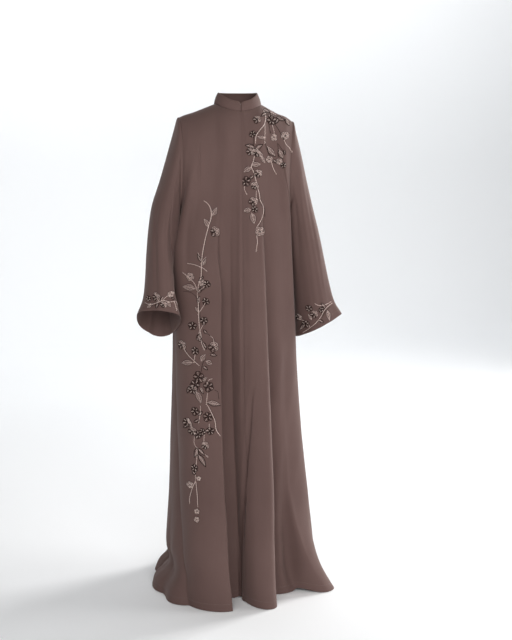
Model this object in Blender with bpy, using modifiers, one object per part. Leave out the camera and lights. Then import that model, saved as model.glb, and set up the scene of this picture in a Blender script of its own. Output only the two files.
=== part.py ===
"""Abaya cloak: a full-length open-front gown with a stand collar and wide set-in sleeves.

Metres, +Z up. The front faces -Y and the wearer's right is at -X. The origin is the middle of the
neck, level with the neckline, where the wearer's neck and shoulders hold the garment up. The hem
just reaches the floor, at z = HEM_Z. Each cut piece is a surface whose outer face is worked out
here, and a Solidify modifier gives it its wall, which goes inwards.
"""

import math

import bpy
import numpy as np

# Cloth and seams
WALL = 0.0016
COLLAR_WALL = 0.002
SEAM_GAP = 0.0004
LAP_GAP = 0.0014

# Neckline, an ellipse that dips at the front
NECK_HALF_WIDTH = 0.070
NECK_FRONT = 0.072
NECK_BACK = 0.062
NECK_FRONT_Z = -0.034
NECK_SIDE_Z = -0.013
NECK_NAPE_Z = -0.010

# Levels
CHEST_Z = -0.335
HEM_Z = -1.475

# Shoulder tip and the bottom of the armhole, on each side of the body: x, y, z
SHOULDER_TIP = {"right": (-0.1725, 0.010, -0.0535), "left": (0.1650, 0.010, -0.0650)}
UNDERARM = {"right": (-0.1770, 0.000, CHEST_Z), "left": (0.1530, 0.000, CHEST_Z)}
ARMHOLE_FRONT = 0.085
ARMHOLE_BACK = 0.080
# How far the armhole curves in towards the chest at its front and back
ARMHOLE_CURVE = {"right": 0.003, "left": 0.014}
ARMHOLE_CURVE_FADE = 0.3

# The body's rings without their folds, a row for each level:
# height, half width on the wearer's right and left, depth of the front and back
SECTIONS = (
    (CHEST_Z, 0.177, 0.153, 0.130, 0.115),
    (-0.430, 0.196, 0.152, 0.134, 0.124),
    (-0.570, 0.198, 0.158, 0.138, 0.138),
    (-0.720, 0.198, 0.165, 0.141, 0.150),
    (-0.900, 0.202, 0.174, 0.143, 0.160),
    (-1.080, 0.207, 0.190, 0.146, 0.168),
    (-1.220, 0.214, 0.205, 0.147, 0.174),
    (-1.340, 0.223, 0.219, 0.148, 0.182),
    (-1.408, 0.220, 0.228, 0.149, 0.190),
    (-1.438, 0.254, 0.235, 0.151, 0.202),
    (HEM_Z, 0.267, 0.243, 0.154, 0.216),
)
RING_POWER = 2.3

# The folds that hang in the body, a row for each. Angles are in degrees round from the front,
# positive to the wearer's left. The widths reach from a fold's crest to its foot on each side.
# name, top height, crest at top and hem, width before the crest at top and hem, width after the
# crest at top and hem, depth at the hem, how late it grows, how full its crest is, and how far
# its crest leans over past its foot
FOLDS = (
    ("right_crest", -0.36, -34.8, -22.2, 49.5, 20.0, 4.0, 4.0, 0.112, 0.80, 0.5, 9.6),
    ("right_hip", -0.80, -52.0, -47.0, 34.0, 27.0, 26.0, 27.0, 0.076, 2.00, 0.8, 0.0),
    ("left_crest", -0.22, 16.0, 11.0, 34.0, 16.0, 8.0, 15.0, 0.118, 0.90, 0.4, 0.0),
    ("left_edge", -0.26, 68.0, 74.0, 22.0, 18.0, 22.0, 16.0, 0.018, 0.50, 0.8, 0.0),
    ("left_side", -1.14, 50.0, 60.0, 8.0, 8.5, 20.0, 24.0, 0.072, 1.40, 0.8, 0.0),
    ("left_back", -0.50, 124.0, 120.0, 16.0, 16.0, 20.0, 18.0, 0.055, 1.15, 0.8, 0.0),
    ("back_left", -0.34, 150.0, 150.0, 18.0, 13.0, 20.0, 15.0, 0.085, 1.10, 0.7, 0.0),
    ("back_middle", -0.45, 180.0, 184.0, 22.0, 16.0, 20.0, 14.0, 0.070, 1.15, 0.8, 0.0),
    ("back_right", -0.30, 210.0, 211.0, 20.0, 15.0, 16.0, 11.0, 0.090, 1.05, 0.7, 0.0),
    ("right_back", -0.60, 236.0, 234.0, 13.0, 11.0, 12.0, 11.0, 0.036, 1.30, 0.8, 0.0),
    ("right_corner", -0.60, 250.0, 250.0, 12.0, 12.0, 14.0, 14.0, -0.014, 5.00, 0.8, 0.0),
)

# A leaning fold is at its full lean this far down
FOLD_LEAN_START = 0.2

# Where a trough is held off the floor at the hem: angle, half width, height
HEM_LIFTS = (
    (53.0, 5.0, 0.008),
    (-8.0, 6.0, 0.004),
    (160.0, 9.0, 0.007),
    (233.0, 8.0, 0.006),
)

# Centre front: the right front's edge, and how far the left front reaches under it
LAP_EDGE_DEG = -3.0
LAP_UNDER_DEG = 7.5
LAP_RISE_DEG = 6.0
LAP_COLUMNS = 5

# The neckline takes the columns that start within this angle at the chest
NECK_SHARE_DEG = 34.0
NECK_SHARE_POWER = 1.35
SEAM_NARROW_DEG = 0.065
SEAM_COLUMN_DEG = 1.4

# The body's grid
FRONT_COLUMNS = {"right": 27, "left": 26}
BACK_COLUMNS = 51
YOKE_ROWS = (0.0, 0.02, 0.09, 0.17, 0.26, 0.35, 0.44, 0.53, 0.62, 0.71, 0.80, 0.89, 1.0)
SKIRT_HEIGHTS = (
    -0.38, -0.44, -0.52, -0.61, -0.71, -0.81, -0.91, -1.01,
    -1.11, -1.20, -1.28, -1.35, -1.407, -1.434, -1.457, HEM_Z,
)

# Each sleeve's rings, a row for each station from the armhole to the cuff: the outer edge's x, y
# and z, the inner edge's x, y and z, half the depth from front to back, and how much the front
# edge is above the middle and the back edge below it
SLEEVES = {
    "right": (
        (-0.1845, 0.008, -0.080, -0.1850, 0.000, -0.348, 0.0870, 0.000, 0.000),
        (-0.2035, 0.006, -0.145, -0.1895, 0.000, -0.368, 0.0900, 0.002, 0.002),
        (-0.2310, 0.004, -0.235, -0.1950, -0.006, -0.405, 0.0920, 0.005, 0.005),
        (-0.2560, 0.000, -0.308, -0.2000, -0.020, -0.450, 0.0920, 0.010, 0.010),
        (-0.2680, -0.012, -0.378, -0.2015, -0.042, -0.492, 0.0900, 0.014, 0.018),
        (-0.2760, -0.034, -0.445, -0.2010, -0.070, -0.530, 0.0870, 0.018, 0.027),
        (-0.2835, -0.066, -0.515, -0.2020, -0.098, -0.565, 0.0840, 0.022, 0.038),
        (-0.2940, -0.092, -0.575, -0.1960, -0.118, -0.600, 0.0820, 0.026, 0.050),
        (-0.3140, -0.112, -0.619, -0.1880, -0.132, -0.637, 0.0810, 0.029, 0.060),
    ),
    "left": (
        (0.1740, 0.010, -0.088, 0.1570, 0.004, -0.352, 0.0840, 0.000, 0.000),
        (0.1885, 0.008, -0.150, 0.1600, 0.010, -0.378, 0.0840, 0.002, 0.002),
        (0.2060, 0.004, -0.235, 0.1630, 0.018, -0.420, 0.0820, 0.003, 0.003),
        (0.2250, 0.000, -0.318, 0.1660, 0.024, -0.470, 0.0800, 0.004, 0.004),
        (0.2440, -0.004, -0.395, 0.1690, 0.028, -0.525, 0.0780, 0.005, 0.004),
        (0.2600, -0.008, -0.470, 0.1730, 0.030, -0.580, 0.0760, 0.006, 0.004),
        (0.2745, -0.012, -0.540, 0.1770, 0.031, -0.630, 0.0740, 0.006, 0.004),
        (0.2910, -0.016, -0.600, 0.1810, 0.032, -0.676, 0.0720, 0.006, 0.004),
        (0.3150, -0.020, -0.640, 0.1850, 0.032, -0.716, 0.0700, 0.006, 0.004),
    ),
}
# The sleeve head's first narrow row, which carries on from the body's slope at the seam
SLEEVE_HEAD_STEP = np.array([0.005, 0.0, -0.0018])
SLEEVE_HEAD_NARROW = 0.0014
SLEEVE_SEAM_GAP = 0.0005
SLEEVE_ROWS = 17
SLEEVE_RING_POWER = 2.2

# Soft waves in the sleeves, a row for each: turn round from the outer edge, half width in turns,
# depth at the cuff (inwards is negative), and where along the sleeve it starts
SLEEVE_WAVES = {
    "right": ((0.16, 0.10, -0.007, 0.45), (0.36, 0.09, 0.008, 0.50), (0.72, 0.13, 0.012, 0.40)),
    "left": ((0.13, 0.08, -0.006, 0.40), (0.30, 0.09, 0.008, 0.35), (0.66, 0.12, 0.010, 0.45)),
}

# Collar: how high it stands over the neckline, and how far it leans in, at the front, the side
# and the nape; its ends meet at the centre front with rounded top corners
COLLAR_HEIGHT = {"front": 0.0285, "side": 0.034, "nape": 0.031}
COLLAR_LEAN = {"front": 0.008, "side": 0.012, "nape": 0.010}
COLLAR_END_GAP = 0.0012
COLLAR_CORNER = 0.006
COLLAR_CORNER_DEG = 12.0
COLLAR_POINTS = 37
COLLAR_ROWS = 4


def curve_through(knots, values, at):
    """Values read at some places from a smooth curve through a table's rows."""
    knots, values = np.asarray(knots, float), np.asarray(values, float)
    if knots[0] > knots[-1]:
        knots, values = knots[::-1], values[::-1]
    slopes = np.gradient(values, knots)
    at = np.clip(at, knots[0], knots[-1])
    row = np.clip(np.searchsorted(knots, at) - 1, 0, len(knots) - 2)
    step = knots[row + 1] - knots[row]
    s = (at - knots[row]) / step
    start = (1 + 2 * s) * (1 - s) ** 2 * values[row] + s * (1 - s) ** 2 * step * slopes[row]
    end = s**2 * (3 - 2 * s) * values[row + 1] - s**2 * (1 - s) * step * slopes[row + 1]
    return start + end


def smooth_step(x):
    x = np.clip(x, 0.0, 1.0)
    return x * x * (3 - 2 * x)


def bump(distance, width_before, width_after, fullness):
    """A rounded hump, 1 at its crest and 0 beyond its widths."""
    width = np.where(distance < 0, width_before, width_after)
    reach = np.clip(np.abs(distance) / width, 0.0, 1.0)
    return (0.5 + 0.5 * np.cos(math.pi * reach)) ** fullness


def turned(angle, centre):
    """The signed angle from a centre, between -180 and 180 degrees."""
    return (angle - centre + 180.0) % 360.0 - 180.0


def fold_push(angle, z):
    """How far all the folds push the body's ring outwards, and round it in degrees."""
    depth = np.zeros(np.broadcast(angle, z).shape)
    lean = np.zeros_like(depth)
    for _, top, a_top, a_hem, b_top, b_hem, c_top, c_hem, at_hem, late, full, over in FOLDS:
        down = np.clip((top - z) / (top - HEM_Z), 0.0, 1.0)
        crest = a_top + (a_hem - a_top) * down**2
        before = b_top + (b_hem - b_top) * down**2
        after = c_top + (c_hem - c_top) * down**2
        hump = bump(turned(angle, crest), before, after, full)
        depth = depth + at_hem * down**late * hump
        lean = lean + over * smooth_step(down / FOLD_LEAN_START) * hump
    return depth, lean


def body_ring(angle, z):
    """Points of the body's outer face below the arms, as an array of x, y, z."""
    angle, z = np.broadcast_arrays(np.asarray(angle, float), np.asarray(z, float))
    levels = [row[0] for row in SECTIONS]
    right, left, front, back = (
        curve_through(levels, [row[k] for row in SECTIONS], z) for k in range(1, 5)
    )
    depth, lean = fold_push(angle, z)
    turn = np.radians(angle + lean)
    across, along = np.sin(turn), np.cos(turn)
    half_width = np.where(across < 0, right, left)
    half_depth = np.where(along > 0, front, back)
    n = RING_POWER
    radius = ((np.abs(across) / half_width) ** n + (np.abs(along) / half_depth) ** n) ** (-1 / n)
    radius = radius + depth
    lift = np.zeros_like(z)
    near_hem = smooth_step((SKIRT_HEIGHTS[-5] - z) / (SKIRT_HEIGHTS[-5] - HEM_Z))
    for centre, half, height in HEM_LIFTS:
        lift = lift + height * near_hem * bump(turned(angle, centre), half, half, 1.0)
    return np.stack([radius * across, -radius * along, z + lift], axis=-1)


def neckline(turn_deg):
    """Points of the neckline, by the angle round the neck from the centre front."""
    turn = np.radians(turn_deg)
    across, along = np.sin(turn), np.cos(turn)
    depth = np.where(along > 0, NECK_FRONT, NECK_BACK)
    rise = np.where(along > 0, NECK_FRONT_Z - NECK_SIDE_Z, NECK_NAPE_Z - NECK_SIDE_Z)
    z = NECK_SIDE_Z + rise * along**2
    return np.stack([NECK_HALF_WIDTH * across, -depth * along, z], axis=-1)


def top_edge(angle, front):
    """The neckline and then the shoulder seam, for columns by their angle at the chest."""
    from_middle = np.abs(angle) if front else 180.0 - np.abs(turned(angle, 0.0))
    side = np.where(turned(angle, 0.0) < 0, "right", "left")
    share = np.clip(from_middle / NECK_SHARE_DEG, 0.0, 1.0) ** NECK_SHARE_POWER
    sign = np.where(side == "right", -1.0, 1.0)
    turn = 90.0 * share if front else 180.0 - 90.0 * share
    on_neck = neckline(turn * sign)
    along = np.clip((from_middle - NECK_SHARE_DEG) / (90.0 - NECK_SHARE_DEG), 0.0, 1.0)
    tip = np.where((side == "right")[:, None], SHOULDER_TIP["right"], SHOULDER_TIP["left"])
    neck_side = neckline(90.0 * sign)
    on_seam = neck_side + (tip - neck_side) * along[:, None]
    points = np.where((along > 0)[:, None], on_seam, on_neck)
    return points, share, along


def armhole(side, turn):
    """The armhole, by turns from the shoulder tip: 0.25 is its front and 0.5 the underarm."""
    tip, under = np.array(SHOULDER_TIP[side]), np.array(UNDERARM[side])
    middle, half = (tip + under) / 2, (tip - under) / 2
    turn = np.asarray(turn, float)[..., None] * 2 * math.pi
    depth = np.where(np.sin(turn) > 0, ARMHOLE_FRONT, ARMHOLE_BACK)
    inward = -np.sign(tip[0]) * ARMHOLE_CURVE[side] * np.sin(turn) ** 2
    points = middle + np.cos(turn) * half - np.sin(turn) * depth * np.array([0.0, 1.0, 0.0])
    return points + inward * np.array([1.0, 0.0, 0.0])


def yoke(angle, front):
    """The body above the underarm: rows of points from the top edge down to the chest ring."""
    top, share, along = top_edge(angle, front)
    chest = body_ring(angle, CHEST_Z)
    below = body_ring(angle, CHEST_Z - 0.01)
    reach = np.linalg.norm(chest - top, axis=1)[:, None]
    down = (below - chest) / np.linalg.norm(below - chest, axis=1)[:, None] * reach
    facing = -1.0 if front else 1.0
    outward = 0.55 + 0.45 * share
    drop = (1 - share) * 0.85 + 0.03
    start = np.stack([np.zeros_like(share), facing * outward, -drop], axis=1)
    start = start / np.linalg.norm(start, axis=1)[:, None] * reach

    s = np.array(YOKE_ROWS)[:, None, None]
    points = (
        (1 + 2 * s) * (1 - s) ** 2 * top
        + s * (1 - s) ** 2 * start
        + s**2 * (3 - 2 * s) * chest
        - s**2 * (1 - s) * down
    )
    sides = {"right": angle < 0, "left": angle > 0}
    if not front:
        sides = {"right": angle > 180, "left": angle < 180}
    for side, mine in sides.items():
        if not mine.any():
            continue
        edge = np.argmax(np.where(mine, along, -1.0))
        half_turn = 0.5 * np.array(YOKE_ROWS)
        turn = half_turn if front else 1.0 - half_turn
        correction = armhole(side, turn) - points[:, edge]
        points = points + correction[:, None, :] * (smooth_step(along) * mine)[None, :, None]
    near_seam = np.maximum(1.0 - smooth_step(s / YOKE_ROWS[2]), (along == along.max())[None, :, None])
    points[:, :, 1] += (0.5 * facing * SEAM_GAP * share[None, :, None] * near_seam)[:, :, 0]
    return points


def column_angles(start, end, count):
    """Angles of columns: one close to each edge, and the rest evenly along the cloth."""
    fine = np.linspace(start + SEAM_COLUMN_DEG, end - SEAM_COLUMN_DEG, 1500)
    length = np.zeros(len(fine))
    for z, weight in ((HEM_Z, 1.0), (CHEST_Z, 0.5)):
        ring = body_ring(fine, z)
        length[1:] += weight * np.cumsum(np.linalg.norm(np.diff(ring, axis=0), axis=1))
    inside = np.interp(np.linspace(0.0, length[-1], count - 2), length, fine)
    return np.concatenate([[start], inside, [end]])


def surface_normals(points):
    """Unit normals of a grid of points, facing outwards on a body panel."""
    across = np.gradient(points, axis=1)
    down = np.gradient(points, axis=0)
    normals = np.cross(down, across)
    return normals / np.linalg.norm(normals, axis=2)[:, :, None]


def body_panel(angle, front):
    """A body panel's grid, from its top edge to the hem, through columns at these angles."""
    skirt = body_ring(angle[None, :], np.array(SKIRT_HEIGHTS)[:, None])
    return np.concatenate([yoke(angle, front), skirt])


def lap_angles():
    """The columns that the two fronts share where one lies under the other."""
    return np.linspace(LAP_EDGE_DEG - LAP_UNDER_DEG, LAP_EDGE_DEG, LAP_COLUMNS)


def right_front():
    lap = lap_angles()
    outside = column_angles(-90.0 + SEAM_NARROW_DEG, lap[0], FRONT_COLUMNS["right"])
    return body_panel(np.concatenate([outside[:-1], lap]), True)


def left_front():
    """The left front, set in by a wall and a gap where the right front laps over it."""
    lap = lap_angles()
    outside = column_angles(lap[-1], 90.0 - SEAM_NARROW_DEG, FRONT_COLUMNS["left"])
    angle = np.concatenate([lap, outside[1:]])
    points = body_panel(angle, True)
    covered = 1.0 - smooth_step((angle - LAP_EDGE_DEG - SEAM_COLUMN_DEG) / LAP_RISE_DEG)
    inset = (WALL + LAP_GAP) * covered
    return points - surface_normals(points) * inset[None, :, None]


def back():
    angle = column_angles(90.0 + SEAM_NARROW_DEG, 270.0 - SEAM_NARROW_DEG, BACK_COLUMNS)
    return body_panel(angle, False)


def sleeve(side):
    """A sleeve's rings from the armhole seam to the cuff, each a closed loop of points."""
    front_turn = 0.5 * np.array(YOKE_ROWS)
    turn = np.concatenate([front_turn, 1.0 - front_turn[-2:0:-1]])
    rows = np.array(SLEEVES[side])
    outer, inner, shape = rows[:, 0:3], rows[:, 3:6], rows[:, 6:9]
    outwards = -1.0 if side == "right" else 1.0
    head = np.array([outwards, 1.0, 1.0]) * SLEEVE_HEAD_STEP
    outer = np.vstack([SHOULDER_TIP[side], SHOULDER_TIP[side] + head, outer])
    inner = np.vstack([UNDERARM[side], UNDERARM[side] + head, inner])
    head_shapes = [(ARMHOLE_FRONT - narrow, 0.0, 0.0) for narrow in (0.0, SLEEVE_HEAD_NARROW)]
    shape = np.vstack([head_shapes, shape])
    middle, half = (outer + inner) / 2, (outer - inner) / 2

    station = np.arange(len(outer), dtype=float)
    at = np.concatenate([[0.0], np.linspace(1.0, station[-1], SLEEVE_ROWS - 1)])
    middle, half, shape = (
        np.stack([curve_through(station, part[:, k], at) for k in range(3)], axis=1)
        for part in (middle, half, shape)
    )
    half_depth, front_lift, back_drop = shape.T

    along = at / station[-1]
    n = SLEEVE_RING_POWER
    cos, sin = np.cos(2 * math.pi * turn), np.sin(2 * math.pi * turn)
    square = (np.abs(cos) ** n + np.abs(sin) ** n) ** (-1 / n)
    squareness = smooth_step(along / 0.3)[:, None]
    size = 1.0 + (square - 1.0)[None, :] * squareness
    for centre, width, depth, start in SLEEVE_WAVES[side]:
        grow = smooth_step((along - start) / (1.0 - start))[:, None]
        off = (turn - centre + 0.5) % 1.0 - 0.5
        size = size + depth / half_depth[-1] * grow * bump(off, width, width, 1.0)[None, :]
    forward = np.array([0.0, -1.0, 0.0])
    lift = np.where(sin > 0, front_lift[:, None], back_drop[:, None])
    points = (
        middle[:, None, :]
        + (size * cos)[:, :, None] * half[:, None, :]
        + (size * sin * half_depth[:, None])[:, :, None] * forward
        + (size * sin * lift)[:, :, None] * np.array([0.0, 0.0, 1.0])
    )
    points[0] = armhole(side, turn)
    curve = ARMHOLE_CURVE[side] * (1.0 - smooth_step(along / ARMHOLE_CURVE_FADE))
    points[1:, :, 0] -= outwards * curve[1:, None] * sin[None, :] ** 2
    points[:, :, 0] += outwards * SLEEVE_SEAM_GAP
    return points


def collar():
    """The stand collar: rows from the neckline up to its top edge, from one end to the other."""
    end = math.degrees(COLLAR_END_GAP / 2 / NECK_HALF_WIDTH)
    turn = np.linspace(-180.0 + end, 180.0 - end, COLLAR_POINTS)
    turn = turn + 180.0
    base = neckline(turn)
    along = np.cos(np.radians(turn))
    height, lean = (
        np.where(
            along > 0,
            part["side"] + (part["front"] - part["side"]) * along**2,
            part["side"] + (part["nape"] - part["side"]) * along**2,
        )
        for part in (COLLAR_HEIGHT, COLLAR_LEAN)
    )
    from_end = np.degrees(np.arccos(np.clip(along, -1.0, 1.0)))
    corner = 1.0 - np.clip(from_end / COLLAR_CORNER_DEG, 0.0, 1.0)
    height = height - COLLAR_CORNER * corner**2
    inward = -base * np.array([1.0, 1.0, 0.0])
    inward = inward / np.linalg.norm(inward, axis=1)[:, None]
    rows = []
    for s in np.linspace(0.0, 1.0, COLLAR_ROWS):
        lift = SEAM_GAP + (height - SEAM_GAP) * s
        curve_in = lean * (0.35 * s + 0.65 * s**2)
        rows.append(base + inward * curve_in[:, None] + lift[:, None] * np.array([0.0, 0.0, 1.0]))
    return np.array(rows)


def cloth_material(name, colour, roughness):
    material = bpy.data.materials.new(name)
    material.use_nodes = True
    shader = material.node_tree.nodes["Principled BSDF"]
    shader.inputs["Base Color"].default_value = (*colour, 1.0)
    shader.inputs["Roughness"].default_value = roughness
    shader.inputs["Metallic"].default_value = 0.0
    return material


def cloth_piece(name, points, closed, wall, material, collection):
    """A named object: a surface lofted through rows of points, with a wall that goes inwards."""
    rows, columns = points.shape[:2]
    last = columns if closed else columns - 1
    faces = [
        (
            row * columns + column,
            (row + 1) * columns + column,
            (row + 1) * columns + (column + 1) % columns,
            row * columns + (column + 1) % columns,
        )
        for row in range(rows - 1)
        for column in range(last)
    ]
    mesh = bpy.data.meshes.new(name)
    mesh.from_pydata(points.reshape(-1, 3).tolist(), [], faces)
    mesh.materials.append(material)
    mesh.shade_smooth()
    piece = bpy.data.objects.new(name, mesh)
    collection.objects.link(piece)
    solidify = piece.modifiers.new("Wall", "SOLIDIFY")
    solidify.thickness = wall
    solidify.offset = -1.0
    solidify.use_even_offset = True
    return piece


def clear_scene():
    for item in list(bpy.data.objects):
        bpy.data.objects.remove(item, do_unlink=True)


def main():
    clear_scene()
    collection = bpy.data.collections.new("abaya_cloak")
    bpy.context.scene.collection.children.link(collection)
    crepe = cloth_material("crepe", (0.130, 0.086, 0.077), 0.85)
    collar_crepe = cloth_material("collar_crepe", (0.124, 0.082, 0.073), 0.85)
    cloth_piece("right_front", right_front(), False, WALL, crepe, collection)
    cloth_piece("left_front", left_front(), False, WALL, crepe, collection)
    cloth_piece("back", back(), False, WALL, crepe, collection)
    for side in ("right", "left"):
        points = sleeve(side)
        if side == "left":
            points = points[:, ::-1]
        cloth_piece(f"{side}_sleeve", points, True, WALL, crepe, collection)
    rows = collar()[::-1]
    cloth_piece("collar", rows, False, COLLAR_WALL, collar_crepe, collection)


main()
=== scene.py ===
"""Abaya cloak: crepe panels with their folds, seams, stitching and embroidered flower vines.

Metres, +Z up, the front at -Y and the wearer's right at -X. The cloth repeats the garment's own
shape functions on finer grids, and adds the small folds.
"""

import math

import bpy
import numpy as np
from mathutils import Matrix, Vector
from mathutils.bvhtree import BVHTree

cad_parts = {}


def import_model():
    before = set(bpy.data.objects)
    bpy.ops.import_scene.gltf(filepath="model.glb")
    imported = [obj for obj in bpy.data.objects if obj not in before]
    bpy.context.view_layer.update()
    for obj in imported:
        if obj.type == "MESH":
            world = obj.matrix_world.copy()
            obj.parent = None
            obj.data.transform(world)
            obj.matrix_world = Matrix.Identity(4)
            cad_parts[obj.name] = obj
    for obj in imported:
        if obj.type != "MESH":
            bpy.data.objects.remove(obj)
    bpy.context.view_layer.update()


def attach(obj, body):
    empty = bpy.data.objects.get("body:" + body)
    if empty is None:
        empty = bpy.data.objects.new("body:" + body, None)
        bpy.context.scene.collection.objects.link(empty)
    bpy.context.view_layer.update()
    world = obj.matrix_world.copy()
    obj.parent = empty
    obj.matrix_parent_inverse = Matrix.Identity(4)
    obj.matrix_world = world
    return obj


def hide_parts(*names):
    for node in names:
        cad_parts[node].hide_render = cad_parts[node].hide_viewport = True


# Cloth and seams
CLOTH = 0.0009
COLLAR_CLOTH = 0.0016
SEAM_GAP = 0.0004
LAP_INSET = 0.0016
SEAM_TURN = 0.0012
EDGE_TURN = 0.0010
HEM_TURN = 0.004
EDGE_SHARE = 0.12

# How deep each body panel's edges are turned in
EDGE_TURNS = {
    "right_front": dict(top=SEAM_TURN, bottom=HEM_TURN, left=SEAM_TURN, right=EDGE_TURN),
    "left_front": dict(top=SEAM_TURN, bottom=HEM_TURN, left=EDGE_TURN, right=SEAM_TURN),
    "back": dict(top=SEAM_TURN, bottom=HEM_TURN, left=SEAM_TURN, right=SEAM_TURN),
}

# Where kinks are let out: shares of the yoke's rows that are held at its top and bottom, and the
# reach of the bend at the chest, up and down in metres and from a side seam in degrees
EASE_PASSES = 150
EASE_TOP = 0.12
EASE_BOTTOM = 0.2
WAIST_EASE = 0.10
WAIST_EASE_DEG = 14.0

# The cloth's lift over the right and left shoulder, by its middle and height, and its reach
SHOULDER_LIFTS = (
    ((-0.160, 0.010, -0.050), 0.0025),
    ((0.146, 0.010, -0.060), 0.0060),
)
SHOULDER_REACH = np.array([0.022, 0.080, 0.026])

# Neckline, an ellipse that dips at the front
NECK_HALF_WIDTH = 0.070
NECK_FRONT = 0.072
NECK_BACK = 0.062
NECK_FRONT_Z = -0.034
NECK_SIDE_Z = -0.013
NECK_NAPE_Z = -0.010

CHEST_Z = -0.335
HEM_Z = -1.475

SHOULDER_TIP = {"right": (-0.1725, 0.010, -0.0535), "left": (0.1650, 0.010, -0.0650)}
UNDERARM = {"right": (-0.1770, 0.000, CHEST_Z), "left": (0.1530, 0.000, CHEST_Z)}
ARMHOLE_FRONT = 0.085
ARMHOLE_BACK = 0.080
ARMHOLE_CURVE = {"right": 0.003, "left": 0.014}
ARMHOLE_CURVE_FADE = 0.3

# The body's rings without their folds, a row for each level:
# height, half width on the wearer's right and left, depth of the front and back
SECTIONS = (
    (CHEST_Z, 0.177, 0.153, 0.130, 0.115),
    (-0.430, 0.196, 0.152, 0.134, 0.124),
    (-0.570, 0.198, 0.158, 0.138, 0.138),
    (-0.720, 0.198, 0.165, 0.141, 0.150),
    (-0.900, 0.202, 0.174, 0.143, 0.160),
    (-1.080, 0.207, 0.190, 0.146, 0.168),
    (-1.220, 0.214, 0.205, 0.147, 0.174),
    (-1.340, 0.223, 0.219, 0.148, 0.182),
    (-1.408, 0.220, 0.228, 0.149, 0.190),
    (-1.438, 0.254, 0.235, 0.151, 0.202),
    (HEM_Z, 0.267, 0.243, 0.154, 0.216),
)
RING_POWER = 2.3

# The folds that hang in the body, a row for each. Angles are in degrees round from the front,
# positive to the wearer's left. The widths reach from a fold's crest to its foot on each side.
# name, top height, crest at top and hem, width before the crest at top and hem, width after the
# crest at top and hem, depth at the hem, how late it grows, how full its crest is, and how far
# its crest leans over past its foot
FOLDS = (
    ("right_crest", -0.36, -34.8, -22.2, 49.5, 20.0, 4.0, 4.0, 0.112, 0.80, 0.5, 9.6),
    ("right_hip", -0.80, -52.0, -47.0, 34.0, 27.0, 26.0, 27.0, 0.076, 2.00, 0.8, 0.0),
    ("left_crest", -0.22, 16.0, 11.0, 34.0, 16.0, 8.0, 15.0, 0.118, 0.90, 0.4, 0.0),
    ("left_edge", -0.26, 68.0, 74.0, 22.0, 18.0, 22.0, 16.0, 0.018, 0.50, 0.8, 0.0),
    ("left_side", -1.14, 50.0, 60.0, 8.0, 8.5, 20.0, 24.0, 0.072, 1.40, 0.8, 0.0),
    ("left_back", -0.50, 124.0, 120.0, 16.0, 16.0, 20.0, 18.0, 0.055, 1.15, 0.8, 0.0),
    ("back_left", -0.34, 150.0, 150.0, 18.0, 13.0, 20.0, 15.0, 0.085, 1.10, 0.7, 0.0),
    ("back_middle", -0.45, 180.0, 184.0, 22.0, 16.0, 20.0, 14.0, 0.070, 1.15, 0.8, 0.0),
    ("back_right", -0.30, 210.0, 211.0, 20.0, 15.0, 16.0, 11.0, 0.090, 1.05, 0.7, 0.0),
    ("right_back", -0.60, 236.0, 234.0, 13.0, 11.0, 12.0, 11.0, 0.036, 1.30, 0.8, 0.0),
    ("right_corner", -0.60, 250.0, 250.0, 12.0, 12.0, 14.0, 14.0, -0.014, 5.00, 0.8, 0.0),
)

# A leaning fold is at its full lean this far down
FOLD_LEAN_START = 0.2

# Where a trough is held off the floor at the hem: angle, half width, height
HEM_LIFTS = (
    (53.0, 5.0, 0.008),
    (-8.0, 6.0, 0.004),
    (160.0, 9.0, 0.007),
    (233.0, 8.0, 0.006),
)

# Centre front: the right front's edge, and how far the left front reaches under it
LAP_EDGE_DEG = -3.0
LAP_UNDER_DEG = 7.5
LAP_RISE_DEG = 6.0

# The neckline takes the columns that start within this angle at the chest
NECK_SHARE_DEG = 34.0
NECK_SHARE_POWER = 1.35
SEAM_NARROW_DEG = 0.065
SEAM_COLUMN_DEG = 1.4
SEAM_FADE = 0.09
FLARE_Z = -1.35

# The yoke leaves its top edge outwards, by this much at the centre, and down, by this much more
# at the centre than at the shoulder's least. It meets the chest at the slope over this step, and
# this last share of the shoulder lies on the armhole's seam.
YOKE_OUTWARD = 0.55
YOKE_DROP = 0.85
YOKE_LEAST_DROP = 0.03
YOKE_SLOPE_STEP = 0.01
YOKE_EDGE_SHARE = 0.02

# The fine grids. Columns are spread over the lengths round the hem and, with this weight, the
# chest, and the skirt's rows start this far below the chest.
FRONT_COLUMNS = 150
BACK_COLUMNS = 190
LAP_COLUMNS = 14
YOKE_ROWS = 62
YOKE_ROW_POWER = 1.05
SKIRT_ROWS = 116
SLEEVE_TURNS = 108
SLEEVE_ROWS = 96
COLLAR_POINTS = 181
COLLAR_ROWS = 16
COLUMN_TRIES = 1500
CHEST_WEIGHT = 0.5
SKIRT_START = 0.0045

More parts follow.
